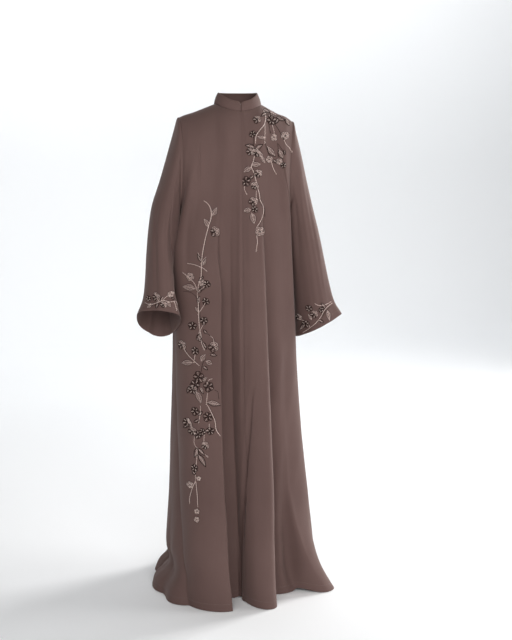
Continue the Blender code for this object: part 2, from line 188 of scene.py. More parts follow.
# Each sleeve's rings, a row for each station from the armhole to the cuff: the outer edge's x, y
# and z, the inner edge's x, y and z, half the depth from front to back, and how much the front
# edge is above the middle and the back edge below it, in millimetres
SLEEVES = {
    "right": (
        (-184.5, 8, -80, -185, 0, -348, 87, 0, 0),
        (-203.5, 6, -145, -189.5, 0, -368, 90, 2, 2),
        (-231, 4, -235, -195, -6, -405, 92, 5, 5),
        (-256, 0, -308, -200, -20, -450, 92, 10, 10),
        (-268, -12, -378, -201.5, -42, -492, 90, 14, 18),
        (-276, -34, -445, -201, -70, -530, 87, 18, 27),
        (-283.5, -66, -515, -202, -98, -565, 84, 22, 38),
        (-294, -92, -575, -196, -118, -600, 82, 26, 50),
        (-314, -112, -619, -188, -132, -637, 81, 29, 60),
    ),
    "left": (
        (174, 10, -88, 157, 4, -352, 84, 0, 0),
        (188.5, 8, -150, 160, 10, -378, 84, 2, 2),
        (206, 4, -235, 163, 18, -420, 82, 3, 3),
        (225, 0, -318, 166, 24, -470, 80, 4, 4),
        (244, -4, -395, 169, 28, -525, 78, 5, 4),
        (260, -8, -470, 173, 30, -580, 76, 6, 4),
        (274.5, -12, -540, 177, 31, -630, 74, 6, 4),
        (291, -16, -600, 181, 32, -676, 72, 6, 4),
        (315, -20, -640, 185, 32, -716, 70, 6, 4),
    ),
}

# The sleeve head's first narrow row, which carries on from the body's slope at the seam
SLEEVE_HEAD_STEP = np.array([0.005, 0.0, -0.0018])
SLEEVE_HEAD_NARROW = 0.0014
SLEEVE_SEAM_GAP = 0.0005
SLEEVE_RING_POWER = 2.2
SLEEVE_SQUARE_FADE = 0.3

# Soft waves in the sleeves, a row for each: turn round from the outer edge, half width in turns,
# depth at the cuff (inwards is negative), and where along the sleeve it starts
SLEEVE_WAVES = {
    "right": ((0.16, 0.10, -0.007, 0.45), (0.36, 0.09, 0.008, 0.50), (0.72, 0.13, 0.012, 0.40)),
    "left": ((0.13, 0.08, -0.006, 0.40), (0.30, 0.09, 0.008, 0.35), (0.66, 0.12, 0.010, 0.45)),
}

# Collar: how high it stands over the neckline, and how far it leans in, at the front, the side
# and the nape; its ends meet at the centre front with rounded top corners
COLLAR_HEIGHT = (0.0285, 0.034, 0.031)
COLLAR_LEAN = (0.008, 0.012, 0.010)
COLLAR_END_GAP = 0.0012
COLLAR_CORNER = 0.006
COLLAR_CORNER_DEG = 12.0
COLLAR_LEAN_STRAIGHT = 0.35
COLLAR_LEAN_CURVED = 0.65

# The embroidery, drawn flat as seen a little from the wearer's right, in millimetres: across to
# the wearer's left and up. A stem is its thread, its half width and its points; a flower its
# place, radius, turn and thread; a leaf its base, tip, half width and thread.
SHOULDER_VINE = {
    "stems": (
        ("pale", 1.3, ((74, -26), (82, -50), (79, -71), (64, -91), (55, -104), (52, -128))),
        ("pale", 0.8, ((80, -63), (80, -89), (79, -121))),
        ("dark", 0.9, ((79, -121), (84, -141), (92, -162))),
        ("pale", 0.8, ((101, -71), (105, -86), (108, -102))),
        ("dark", 0.9, ((110, -72), (121, -89), (133, -111))),
        ("pale", 0.9, ((136, -117), (145, -134), (152, -140), (157, -148))),
        ("dark", 0.8, ((117, -126), (119, -150), (118, -174))),
        ("dark", 0.8, ((118, -128), (127, -141), (137, -154))),
        ("pale", 0.9, ((98, -180), (103, -197), (110, -212))),
        ("pale", 1.2, ((49, -163), (46, -178), (40, -195), (46, -208), (55, -241))),
        ("pale", 0.7, ((20, -250), (20, -260), (24, -269))),
        ("pale", 1.1, ((58, -254), (63, -273), (65, -289), (75, -311), (75, -327), (69, -346),
            (54, -370))),
        ("dark", 0.7, ((60, -279), (67, -303), (79, -317), (79, -332))),
        ("pale", 0.7, ((54, -263), (54, -284))),
        ("pale", 0.9, ((55, -391), (57, -408), (54, -431))),
        ("dark", 1.0, ((75, -29), (90, -37), (108, -45), (126, -53), (142, -62))),
        ("dark", 0.8, ((84, -54), (92, -74), (95, -92))),
        ("dark", 0.8, ((60, -92), (48, -108), (46, -126))),
    ),
    "flowers": (
        (57, -58, 12, 20, "mixed"), (100, -62, 14, 0, "dark"), (44, -101, 10, 40, "dark"),
        (106, -110, 10, 10, "pale"), (140, -106, 12, 30, "pale"), (38, -151, 12, 10, "mixed"),
        (54, -154, 12, 50, "mixed"), (92, -174, 10, 15, "pale"), (122, -181, 9, 35, "pale"),
        (134, -190, 9, 5, "dark"), (60, -214, 12, 25, "mixed"), (24, -237, 14, 0, "dark"),
        (50, -250, 11, 45, "mixed"), (46, -295, 13, 20, "mixed"), (49, -316, 10, 60, "dark"),
        (64, -381, 14, 30, "pale"),
    ),
    "leaves": (
        (79, -111, 58, -108, 4, "pale"), (49, -140, 23, -133, 6, "dark"),
        (52, -145, 72, -131, 6, "dark"), (88, -139, 110, -165, 7, "mixed"),
        (121, -147, 133, -172, 7, "mixed"), (61, -152, 72, -168, 5, "pale"),
        (68, -165, 80, -184, 4, "pale"), (43, -190, 67, -187, 6, "pale"),
        (39, -197, 18, -210, 6, "pale"), (37, -318, 18, -322, 6, "pale"),
        (41, -329, 48, -359, 7, "pale"), (76, -29, 95, -38, 5, "dark"),
        (98, -37, 115, -44, 5, "pale"), (115, -49, 140, -61, 6, "dark"),
        (143, -56, 153, -75, 5, "mixed"), (105, -176, 113, -184, 4, "dark"),
        (85, -40, 69, -49, 4, "dark"), (91, -43, 99, -54, 4, "dark"),
        (121, -56, 111, -71, 4, "dark"), (137, -148, 137, -160, 3, "dark"),
        (46, -221, 34, -230, 4, "dark"),
    ),
}
FRONT_VINE = {
    "stems": (
        ("pale", 1.3, ((-98, -292), (-87, -300), (-79, -312), (-76, -334), (-85, -369),
            (-95, -408), (-103, -454), (-105, -481), (-106, -509), (-114, -538), (-117, -562))),
        ("pale", 0.8, ((-115, -442), (-108, -456), (-103, -465))),
        ("pale", 0.8, ((-91, -453), (-98, -461), (-103, -468))),
        ("pale", 1.0, ((-147, -474), (-129, -476), (-110, -482), (-98, -487), (-88, -496))),
        ("pale", 0.9, ((-161, -500), (-142, -515), (-125, -532), (-118, -550))),
        ("dark", 0.8, ((-160, -555), (-139, -557), (-124, -566), (-117, -577))),
        ("pale", 1.2, ((-117, -562), (-114, -593), (-113, -627), (-111, -662))),
        ("dark", 0.7, ((-114, -567), (-110, -598), (-109, -630))),
        ("pale", 1.0, ((-111, -662), (-106, -682), (-105, -701), (-96, -723))),
        ("pale", 0.8, ((-95, -589), (-104, -602), (-112, -614))),
        ("pale", 0.7, ((-98, -645), (-106, -659), (-110, -668))),
        ("dark", 0.9, ((-90, -673), (-81, -679), (-72, -688))),
        ("pale", 0.9, ((-81, -679), (-71, -688), (-69, -702))),
        ("pale", 1.1, ((-159, -721), (-154, -729), (-143, -742), (-130, -753), (-112, -768))),
        ("pale", 0.8, ((-124, -734), (-127, -754))),
        ("dark", 1.1, ((-99, -753), (-104, -769), (-107, -786))),
        ("pale", 0.9, ((-73, -803), (-82, -806), (-88, -815))),
        ("dark", 0.8, ((-68, -835), (-59, -840), (-56, -855))),
        ("pale", 0.9, ((-88, -844), (-91, -872))),
        ("pale", 1.2, ((-89, -879), (-76, -903), (-66, -927), (-63, -949), (-51, -968))),
        ("pale", 0.8, ((-109, -883), (-109, -902), (-113, -927))),
        ("pale", 1.0, ((-83, -933), (-85, -949), (-98, -960))),
        ("pale", 0.9, ((-98, -965), (-99, -986))),
        ("pale", 0.8, ((-126, -973), (-127, -996), (-118, -1008), (-106, -1016), (-92, -1026))),
        ("pale", 0.8, ((-118, -1013), (-121, -1048), (-124, -1075), (-124, -1102))),
        ("pale", 1.0, ((-124, -1102), (-136, -1134), (-141, -1154), (-142, -1174))),
        ("pale", 1.0, ((-123, -1103), (-119, -1140), (-117, -1177))),
    ),
    "flowers": (
        (-66, -380, 15, 10, "mixed"), (-138, -511, 12, 30, "pale"), (-103, -528, 10, 0, "pale"),
        (-90, -531, 11, 40, "dark"), (-93, -581, 11, 20, "dark"), (-131, -654, 13, 0, "dark"),
        (-98, -636, 12, 35, "dark"), (-164, -713, 13, 15, "mixed"), (-124, -725, 12, 5, "dark"),
        (-70, -711, 16, 25, "mixed"), (-115, -802, 17, 10, "dark"), (-124, -824, 16, 45, "dark"),
        (-85, -825, 16, 20, "dark"), (-132, -841, 13, 0, "mixed"), (-125, -901, 13, 30, "dark"),
        (-87, -913, 15, 12, "dark"), (-149, -937, 13, 50, "mixed"), (-133, -961, 12, 20, "mixed"),
        (-116, -968, 13, 5, "dark"), (-103, -957, 10, 35, "dark"), (-80, -955, 12, 10, "dark"),
        (-95, -998, 11, 40, "mixed"), (-127, -1065, 11, 0, "dark"), (-140, -1118, 10, 20, "pale"),
        (-114, -1094, 7, 0, "pale"), (-119, -1189, 8, 0, "pale"), (-120, -1213, 8, 36, "pale"),
    ),
    "leaves": (
        (-74, -334, -60, -311, 6, "pale"), (-84, -367, -97, -345, 6, "pale"),
        (-125, -546, -161, -542, 8, "pale"), (-115, -557, -103, -542, 5, "dark"),
        (-115, -588, -110, -568, 4, "mixed"), (-113, -611, -123, -600, 4, "pale"),
        (-110, -678, -120, -693, 6, "mixed"), (-109, -698, -115, -678, 5, "dark"),
        (-90, -673, -99, -664, 4, "dark"), (-134, -761, -164, -767, 7, "pale"),
        (-106, -753, -94, -734, 6, "pale"), (-91, -754, -75, -761, 6, "pale"),
        (-100, -770, -88, -778, 4, "dark"), (-80, -734, -61, -736, 4, "dark"),
        (-121, -845, -107, -877, 7, "pale"), (-88, -873, -51, -879, 7, "mixed"),
        (-141, -831, -148, -852, 4, "dark"), (-114, -924, -128, -933, 4, "dark"),
        (-144, -929, -133, -951, 4, "pale"), (-119, -1007, -127, -1035, 6, "dark"),
        (-115, -1008, -97, -1025, 5, "dark"), (-116, -1025, -94, -1058, 7, "dark"),
        (-124, -1084, -133, -1075, 4, "dark"), (-105, -467, -116, -446, 4, "dark"),
        (-102, -477, -92, -458, 4, "mixed"), (-108, -549, -91, -533, 5, "dark"),
        (-111, -523, -99, -510, 4, "dark"), (-102, -699, -91, -719, 4, "dark"),
        (-101, -811, -91, -801, 4, "pale"), (-109, -832, -100, -848, 4, "mixed"),
        (-115, -911, -103, -900, 4, "dark"), (-148, -945, -160, -956, 4, "dark"),
    ),
}
RIGHT_CUFF_VINE = {
    "stems": (
        ("pale", 1.0, ((-267, -581), (-251, -584), (-233, -579), (-213, -571), (-193, -575),
            (-177, -575), (-168, -586))),
        ("pale", 0.8, ((-182, -575), (-178, -584), (-176, -593))),
        ("dark", 0.7, ((-260, -585), (-242, -587), (-224, -581))),
        ("pale", 0.7, ((-213, -571), (-204, -561), (-193, -556))),
    ),
    "flowers": (
        (-233, -563, 12, 10, "mixed"), (-256, -570, 8, 30, "dark"), (-211, -583, 9, 20, "mixed"),
        (-190, -554, 9, 0, "pale"),
    ),
    "leaves": (
        (-186, -568, -184, -565, 4, "dark"), (-248, -582, -258, -593, 4, "pale"),
        (-220, -574, -213, -560, 4, "mixed"), (-199, -575, -191, -588, 4, "pale"),
        (-227, -579, -232, -592, 4, "dark"),
    ),
}
LEFT_CUFF_VINE = {
    "stems": (
        ("pale", 1.0, ((286, -605), (271, -614), (259, -627), (249, -645), (237, -661),
            (218, -680), (198, -698))),
        ("pale", 0.8, ((231, -604), (244, -610), (259, -609), (275, -604))),
        ("dark", 0.8, ((279, -615), (266, -626), (257, -640))),
        ("pale", 0.8, ((218, -679), (208, -663), (189, -657))),
    ),
    "flowers": (
        (185, -650, 10, 10, "mixed"), (230, -636, 12, 30, "mixed"), (206, -668, 12, 0, "dark"),
        (251, -623, 9, 20, "dark"), (214, -620, 10, 45, "dark"),
    ),
    "leaves": (
        (269, -627, 276, -656, 5, "pale"), (244, -654, 259, -662, 4, "dark"),
        (222, -653, 213, -638, 4, "pale"), (191, -687, 201, -663, 4, "mixed"),
        (262, -618, 250, -603, 4, "dark"),
    ),
}

# Each vine's drawing, and the panels that it lies on: it is sewn on the first
VINES = {
    "shoulder": (SHOULDER_VINE, ("left_front", "left_sleeve")),
    "front": (FRONT_VINE, ("right_front",)),
    "right_cuff": (RIGHT_CUFF_VINE, ("right_sleeve",)),
    "left_cuff": (LEFT_CUFF_VINE, ("left_sleeve",)),
}

# The drawing faces this way
DRAWN_FROM_DEG = -9.0

# Beads, threads and stitches: their radii, lengths and steps in metres, and how many sides they
# have. A bead's length along its thread is a share of its width.
BEAD_RADIUS = 0.0013
BEAD_HOLE = 0.00032
BEAD_LENGTH = 0.72
BEAD_SIDES = 8
BEAD_ROUND = 4
BEAD_STEP = 0.0027
THREAD = 0.00028
PETAL_CORD = 0.00046
PLY = 0.00052
UNDER_BEADS = 0.0010
SHADOW_CORD = 0.0005
VEIN_WIDTHS = (0.0006, 0.0003)
CORD_SIDES = 6
STITCH_STEP = 0.0040
STITCH_LENGTH = 0.0028
STITCH_THREAD = 0.00022
STITCH_SIDES = 5
STITCH_STATIONS = (-0.5, -0.36, 0.0, 0.36, 0.5)
STITCH_RISE, STITCH_DIP = 0.9, 2.6

# Each kind of embroidery with its tree's sizes, in the order that the kinds are sewn in
EMBROIDERY = {
    "pale_cords": {"Scale": 1.0},
    "dark_cords": {"Scale": 1.0},
    "pale_threads": {"Scale": 1.0},
    "pale_beads": {"Step": BEAD_STEP, "Size": 1.0, "Vary": 0.12},
    "dark_beads": {"Step": BEAD_STEP, "Size": 1.0, "Vary": 0.12},
}
STITCHES = {"Step": STITCH_STEP, "Size": 1.0, "Vary": 0.08}

# How far the row of stitches is from each panel's hem or cuff
HEM_STITCHES = {
    "right_front": 0.021,
    "left_front": 0.021,
    "back": 0.021,
    "right_sleeve": 0.016,
    "left_sleeve": 0.016,
}

# How high each thread lies over the cloth, in millimetres
SHADOW_LIFT = 0.2
STEM_SHADOW_LIFT = 0.3
CORD_LIFT = 0.4
THREAD_LIFT = 0.5
VEIN_LIFT = 0.6
BEAD_LIFT = 0.7

# A petal in units of its length: its edge, the lines inside and outside it, its threads as
# across and up, the beads' line on it, and the flower's heart
PETAL_POINTS = 11
PETAL_ARC = 1.72
PETAL_HALF_WIDTH = 0.40
PETAL_MIDDLE = 0.62
PETAL_HALF_HEIGHT = 0.36
PETAL_NOTCH = 0.07
PETAL_NOTCH_WIDTH = 0.10
PETAL_FOOT = 0.16
INNER_PETAL = 0.68
OUTER_PETAL = 1.12
PETAL_LEANS = (-1.0, 1.0)
PETAL_THREAD = ((0.0, 0.22), (0.07, 0.45), (0.20, 0.70))
PETAL_GLINT = ((0.0, 0.52), (0.0, 0.80))
HEART = 0.17
HEART_POINTS = 7

# A flower: how far each petal is off its even turn and size, how that changes from one petal to
# the next, and the side of the flower that is shaded
PETALS = 5
PETAL_OFF_DEG, TURN_CHANGE = 5.0, 2.1
PETAL_OFF_SIZE, SIZE_CHANGE = 0.12, 1.7
SHADED_SIDE_DEG = 135.0
SHADED_FROM = 0.1

# A leaf: where its edges, the lines outside them, its threads and its vein start and end along
# it, how its cord thins to the tip, and how far a thread goes along and out. All are shares, and
# the step between threads is in millimetres.
LEAF_POINTS = 9
LEAF_BEND = 0.10
LEAF_SHAPE = 0.8
LEAF_OUTLINE = 1.35
LEAF_EDGE_SPAN = (0.02, 1.0)
LEAF_OUTLINE_SPAN = (0.05, 0.98)
LEAF_THREADS_SPAN = (0.14, 0.80)
LEAF_CORD = (1.0, 0.6)
LEAF_THREAD = ((0.0, 0.06), (0.06, 0.45), (0.12, 0.80))
LEAF_THREAD_STEP = 4.6
VEIN_SPAN = (-0.08, 0.92)
VEIN_POINTS = 7

# A stem: its ends' share of its width and how soon they are full, how far its cords wind out
# and how fast, the dark cord of painted shadow beside a thick one, and a thin one's bud as
# points along and across
STEM_STEP = 1.8
THICK_STEM = 1.0
STEM_END = 0.45
STEM_TAPER = 0.12
WIND_REACH = 0.45
WIND_RATE = 0.8
STEM_SHADOW_REACH = 1.5
STEM_SHADOW_WAVE = 0.4
STEM_SHADOW_RATE = 0.35
STEM_SHADOW_FROM, STEM_SHADOW_TO = 0.08, 0.9
BUD = ((1.2, 0.0), (3.6, 1.2), (6.0, 0.0))

# Cloth, deep to light; the collar's copy of the crepe is a little darker, as painted shade
CREPE = {
    "crepe": ((0.098, 0.058, 0.052), (0.115, 0.0695, 0.062), (0.131, 0.081, 0.073)),
    "collar_crepe": ((0.094, 0.055, 0.049), (0.110, 0.066, 0.059), (0.125, 0.077, 0.069)),
}

# Threads: dark and light tone, the light one painted as highlight on the plies' tops and mixed
# with the dye's tone, how tight the twist is, metallic, roughness and shine
THREADS = {
    "pale_silk": ((0.36, 0.245, 0.215), (0.86, 0.70, 0.64), 900.0, 0.2, 0.5, 0.5),
    "dark_silk": ((0.012, 0.007, 0.006), (0.030, 0.016, 0.014), 900.0, 0.0, 0.8, 0.1),
    "sewing_thread": ((0.085, 0.056, 0.050), (0.135, 0.092, 0.083), 1400.0, 0.0, 0.6, 0.5),
}

# Beads: dark and light tone, metallic, roughness and shine
GLASS = {
    "rose_glass": ((0.50, 0.36, 0.31), (0.90, 0.76, 0.70), 0.2, 0.35, 0.3),
    "jet_glass": ((0.008, 0.004, 0.0035), (0.030, 0.013, 0.010), 0.0, 0.6, 0.12),
}

# Studio: the floor, a hair under the hem, the wall behind it, its paper and the air's light
FLOOR_REACH = 9.0
FLOOR_Z = HEM_Z - 0.0012
WALL_FOOT = 4.8
WALL_CURVE = 1.2
WALL_CURVE_START = 0.1
WALL_CURVE_POINTS = 14
WALL_TOP = 8.0
PAPER = ((0.3, (0.89, 0.90, 0.91)), (0.7, (0.91, 0.92, 0.93)))
AIR = 0.06
AIR_COLOUR = (0.95, 0.975, 1.0, 1.0)

# Camera: place, turn and pitch in degrees, and its focal length and sensor in millimetres
CAMERA_PLACE = (-0.62574, -3.95075, -0.125)
CAMERA_TURN = -9.78925514
CAMERA_PITCH = -7.58364658
CAMERA_LENS = (75.0, 36.0)

# Lamps: place, aim, size, power and colour
WARM, COOL = (1.0, 0.99, 0.98), (0.97, 0.985, 1.0)
LAMPS = (
    ("key", (-2.6, -3.2, 1.6), (0.0, 0.0, -0.6), (1.8, 2.4), 26.0, WARM),
    ("high_front", (-1.3, -4.2, 1.9), (0.0, 0.0, -0.7), (1.8, 1.8), 66.0, WARM),
    ("front", (0.2, -4.6, 0.4), (0.0, 0.0, -0.7), (1.8, 1.8), 100.0, WARM),
    ("right_side", (3.8, -0.6, 0.2), (0.0, 0.0, -0.7), (1.8, 2.4), 66.0, WARM),
    ("rim", (3.0, 1.6, 0.6), (0.0, 0.0, -0.6), (1.2, 2.4), 130.0, WARM),
    ("far_floor", (0.6, 3.0, 3.2), (0.6, 4.8, -1.4), (7.0, 1.0), 62.0, COOL),
    ("backdrop", (0.3, 4.4, 2.8), (0.3, 5.6, -0.6), (6.0, 1.2), 95.0, COOL),
)

# Small folds in the body, a row for each: its name, its widths before and after the line in
# degrees, its fullness, and its line as points of height, degrees and depth in millimetres
CREASES = (
    ("right_chest", 13, 9, 1, ((-0.16, -30, 0), (-0.26, -28, 2.2), (-0.38, -27, 3),
        (-0.52, -30, 2), (-0.66, -33, 0))),
    ("front_edge", 5, 2.4, 1, ((-0.13, -5.4, 0), (-0.2, -5.6, 1.6), (-0.36, -6, 2.6),
        (-0.6, -6.4, 2.8), (-0.85, -6.4, 2), (-1.05, -6.4, 0))),
    ("lap_groove", 4, 1.6, 0.9, ((-0.8, 5.6, 0), (-0.86, 3, -3), (-0.96, 0.4, -6.5),
        (-1.06, -2.2, -8), (-1.18, -3.8, -8), (-1.3, -5, -8), (HEM_Z, -5.8, -6))),
    ("left_trough", 9, 6, 1, ((-1, 44, 0), (-1.12, 44, -3), (-1.23, 44.6, -8), (-1.34, 46, -14),
        (-1.42, 48, -14), (HEM_Z, 50.6, -6))),
    ("crest_valley", 4, 20, 1, ((-0.26, 25, 0), (-0.4, 25, -8), (-0.6, 24.6, -13),
        (-0.9, 23.6, -18), (-1.2, 22, -22), (-1.4, 21, -20), (HEM_Z, 20.6, -12))),
    ("left_lobe", 3, 11, 0.9, ((-0.92, 2, 0), (-1, 0.6, 3), (-1.1, -1, 6), (-1.22, -2.2, 7),
        (-1.34, -3, 6), (HEM_Z, -3.6, 3))),
    ("left_armpit", 3.4, 4, 1, ((-0.13, 56, 0), (-0.19, 60, -2.4), (-0.27, 66, -3.2),
        (-0.36, 74, 0))),
    ("right_drape", 3, 5, 1, ((-0.2, -60, 0), (-0.27, -62.5, -1), (-0.357, -64, -2),
        (-0.438, -62.5, -2.4), (-0.52, -62.6, 0))),
    ("right_side", 15, 15, 1, ((-0.15, -66, 0), (-0.24, -69, 7), (-0.36, -71, 11),
        (-0.52, -71, 11), (-0.66, -69, 5), (-0.8, -68, 0))),
    ("left_side_front", 12, 14, 1, ((-0.18, 60, 0), (-0.28, 61, 5), (-0.44, 62, 8), (-0.6, 63, 6),
        (-0.78, 63, 0))),
    ("right_armpit", 4, 2.6, 1, ((-0.12, -60.5, 0), (-0.165, -59, -2.6), (-0.215, -57, -2.2),
        (-0.27, -55, 0))),
    ("back_left_line", 3, 4, 0.9, ((-0.42, 143, 0), (-0.7, 144, 2.6), (-1.05, 145.5, 3.6),
        (HEM_Z, 146, 3))),
    ("back_middle_line", 3.4, 2.4, 0.9, ((-0.5, 176, 0), (-0.8, 177, 2.4), (-1.15, 180, 4),
        (HEM_Z, 181.5, 3))),
    ("back_right_line", 2.4, 4, 0.9, ((-0.38, 214, 0), (-0.66, 213.5, 3), (-1.05, 213, 4),
        (HEM_Z, 212, 3))),
    ("back_side_line", 3, 3, 1, ((-0.62, 246, 0), (-0.86, 245, 2.4), (-1.2, 244, 3.6),
        (HEM_Z, 243, 2))),
    ("shoulder_blade", 12, 12, 1, ((-0.1, 152, 0), (-0.18, 152, 2), (-0.3, 151, 2.4),
        (-0.42, 150, 0))),
)

# Small folds fade out at the body's top edge, by this share of its rows, and keep this share of
# their depth at the side seams, up to this far from them
CREASE_TOP = 0.25
CREASE_AT_SEAM = 0.15
CREASE_SEAM_DEG = 5.0

# Slow swells that keep a large smooth area from looking pressed: ripples round the body,
# ripples down it, their lean, their phase and their depth in millimetres at the hem
SWELL_AT_CHEST = 0.35
SWELLS = (
    (7, 1.1, 0.8, 0.4, 0.9),
    (11, 2.3, -1.4, 1.9, 0.6),
    (17, 3.7, 2.2, 4.1, 0.45),
    (23, 5.3, -2.8, 2.7, 0.3),
    (31, 8.9, 3.1, 5.2, 0.18),
)

# Small folds in the sleeves, a row for each: its widths before and after the line in turns, its
# fullness, and its line as points of how far along the sleeve, turn and depth in millimetres
SLEEVE_CREASES = {
    "right": (
        (0.1, 0.07, 1, ((0.1, 0.4, 0), (0.22, 0.4, 7), (0.32, 0.41, 11), (0.42, 0.42, 10),
            (0.54, 0.43, 4), (0.64, 0.43, 0))),
        (0.016, 0.03, 1, ((0.26, 0.19, 0), (0.36, 0.25, -2.6), (0.44, 0.31, -4.6),
            (0.51, 0.36, -4), (0.58, 0.4, 0))),
        (0.03, 0.04, 1, ((0.2, 0.22, 0), (0.38, 0.25, 2.6), (0.58, 0.29, 3.4), (0.8, 0.33, 0))),
        (0.04, 0.03, 1, ((0.4, 0.12, 0), (0.56, 0.14, -2.4), (0.74, 0.17, -3), (0.94, 0.2, 0))),
        (0.04, 0.04, 1, ((0.3, 0.7, 0), (0.5, 0.68, 4), (0.75, 0.66, 5), (1, 0.65, 3))),
        (0.03, 0.03, 1, ((0.45, 0.84, 0), (0.65, 0.82, -3), (0.85, 0.81, -3.4), (1, 0.805, -2))),
    ),
    "left": (
        (0.09, 0.09, 1, ((0.04, 0.43, 0), (0.16, 0.43, 9), (0.3, 0.42, 10), (0.46, 0.41, 9),
            (0.66, 0.4, 7), (0.86, 0.4, 4), (1, 0.4, 0))),
        (0.03, 0.04, 1, ((0.1, 0.33, 0), (0.28, 0.345, -1.6), (0.52, 0.35, -2), (0.78, 0.345, 0))),
        (0.035, 0.03, 1, ((0.14, 0.235, 0), (0.34, 0.245, 1.4), (0.62, 0.25, 2), (1, 0.26, 2))),
        (0.03, 0.035, 1, ((0.26, 0.15, 0), (0.46, 0.16, -1.6), (0.72, 0.17, -2), (0.96, 0.18, 0))),
        (0.04, 0.04, 1, ((0.3, 0.7, 0), (0.5, 0.69, 4), (0.75, 0.68, 5), (1, 0.67, 3))),
    ),
}

# Faint ripples in the sleeves: ripples round it, how they wind along it, phase and depth
SLEEVE_RIPPLES = ((3, 9.0, 1.3, 0.0004), (5, -14.0, 0.0, 0.00024))
SLEEVE_RIPPLE_START = 0.05
SLEEVE_RIPPLE_FADE = 0.3
SLEEVE_HELD = 0.08


def between(s, start, start_slope, end, end_slope):
    """A smooth curve from one end to the other, at these shares of the way."""
    return (
        (1 + 2 * s) * (1 - s) ** 2 * start
        + s * (1 - s) ** 2 * start_slope
        + s**2 * (3 - 2 * s) * end
        - s**2 * (1 - s) * end_slope
    )


def curve_through(knots, values, at):
    """Values read at some places from a smooth curve through a table's rows."""
    knots, values = np.asarray(knots, float), np.asarray(values, float)
    if knots[0] > knots[-1]:
        knots, values = knots[::-1], values[::-1]
    slopes = np.gradient(values, knots)
    at = np.clip(at, knots[0], knots[-1])
    row = np.clip(np.searchsorted(knots, at) - 1, 0, len(knots) - 2)
    after = row + 1
    step = knots[after] - knots[row]
    return between((at - knots[row]) / step, values[row], step * slopes[row], values[after],
                   step * slopes[after])


def smooth_step(x):
    x = np.clip(x, 0.0, 1.0)
    return x * x * (3 - 2 * x)


def bump(distance, width_before, width_after, fullness):
    """A rounded hump, 1 at its crest and 0 beyond its widths."""
    width = np.where(distance < 0, width_before, width_after)
    reach = np.clip(np.abs(distance) / width, 0.0, 1.0)
    return (0.5 + 0.5 * np.cos(math.pi * reach)) ** fullness


def turned(angle, centre):
    """The signed angle from a centre, between -180 and 180 degrees."""
    return (angle - centre + 180.0) % 360.0 - 180.0


def from_seam(angle):
    """How far an angle is from the nearer side seam, in degrees."""
    return np.minimum(np.abs(turned(angle, 90.0)), np.abs(turned(angle, -90.0)))


def fold_push(angle, z):
    """How far all the folds push the body's ring outwards, and round it in degrees."""
    depth = np.zeros(np.broadcast(angle, z).shape)
    lean = np.zeros_like(depth)
    for _, top, a_top, a_hem, b_top, b_hem, c_top, c_hem, at_hem, late, full, over in FOLDS:
        down = np.clip((top - z) / (top - HEM_Z), 0.0, 1.0)
        crest = a_top + (a_hem - a_top) * down**2
        before = b_top + (b_hem - b_top) * down**2
        after = c_top + (c_hem - c_top) * down**2
        hump = bump(turned(angle, crest), before, after, full)
        depth = depth + at_hem * down**late * hump
        lean = lean + over * smooth_step(down / FOLD_LEAN_START) * hump
    return depth, lean


def body_ring(angle, z):
    """Points of the body's outer face below the arms, as an array of x, y, z."""
    angle, z = np.broadcast_arrays(np.asarray(angle, float), np.asarray(z, float))
    levels = [row[0] for row in SECTIONS]
    right, left, front, back = (
        curve_through(levels, [row[k] for row in SECTIONS], z) for k in range(1, 5)
    )
    depth, lean = fold_push(angle, z)
    turn = np.radians(angle + lean)
    across, along = np.sin(turn), np.cos(turn)
    half_width = np.where(across < 0, right, left)
    half_depth = np.where(along > 0, front, back)
    n = RING_POWER
    radius = ((np.abs(across) / half_width) ** n + (np.abs(along) / half_depth) ** n) ** (-1 / n)
    radius = radius + depth
    lift = np.zeros_like(z)
    near_hem = smooth_step((FLARE_Z - z) / (FLARE_Z - HEM_Z))
    for centre, half, height in HEM_LIFTS:
        lift = lift + height * near_hem * bump(turned(angle, centre), half, half, 1.0)
    return np.stack([radius * across, -radius * along, z + lift], axis=-1)


def neckline(turn_deg):
    """Points of the neckline, by the angle round the neck from the centre front."""
    turn = np.radians(turn_deg)
    across, along = np.sin(turn), np.cos(turn)
    depth = np.where(along > 0, NECK_FRONT, NECK_BACK)
    rise = np.where(along > 0, NECK_FRONT_Z - NECK_SIDE_Z, NECK_NAPE_Z - NECK_SIDE_Z)
    z = NECK_SIDE_Z + rise * along**2
    return np.stack([NECK_HALF_WIDTH * across, -depth * along, z], axis=-1)


def top_edge(angle, front):
    """The neckline and then the shoulder seam, for columns by their angle at the chest."""
    from_middle = np.abs(angle) if front else 180.0 - np.abs(turned(angle, 0.0))
    side = np.where(turned(angle, 0.0) < 0, "right", "left")
    share = np.clip(from_middle / NECK_SHARE_DEG, 0.0, 1.0) ** NECK_SHARE_POWER
    sign = np.where(side == "right", -1.0, 1.0)
    turn = 90.0 * share if front else 180.0 - 90.0 * share
    on_neck = neckline(turn * sign)
    along = np.clip((from_middle - NECK_SHARE_DEG) / (90.0 - NECK_SHARE_DEG), 0.0, 1.0)
    tip = np.where((side == "right")[:, None], SHOULDER_TIP["right"], SHOULDER_TIP["left"])
    neck_side = neckline(90.0 * sign)
    on_seam = neck_side + (tip - neck_side) * along[:, None]
    points = np.where((along > 0)[:, None], on_seam, on_neck)
    return points, share, along


def armhole(side, turn):
    """The armhole, by turns from the shoulder tip: 0.25 is its front and 0.5 the underarm."""
    tip, under = np.array(SHOULDER_TIP[side]), np.array(UNDERARM[side])
    middle, half = (tip + under) / 2, (tip - under) / 2
    turn = np.asarray(turn, float)[..., None] * 2 * math.pi
    depth = np.where(np.sin(turn) > 0, ARMHOLE_FRONT, ARMHOLE_BACK)
    inward = -np.sign(tip[0]) * ARMHOLE_CURVE[side] * np.sin(turn) ** 2
    points = middle + np.cos(turn) * half - np.sin(turn) * depth * np.array([0.0, 1.0, 0.0])
    return points + inward * np.array([1.0, 0.0, 0.0])


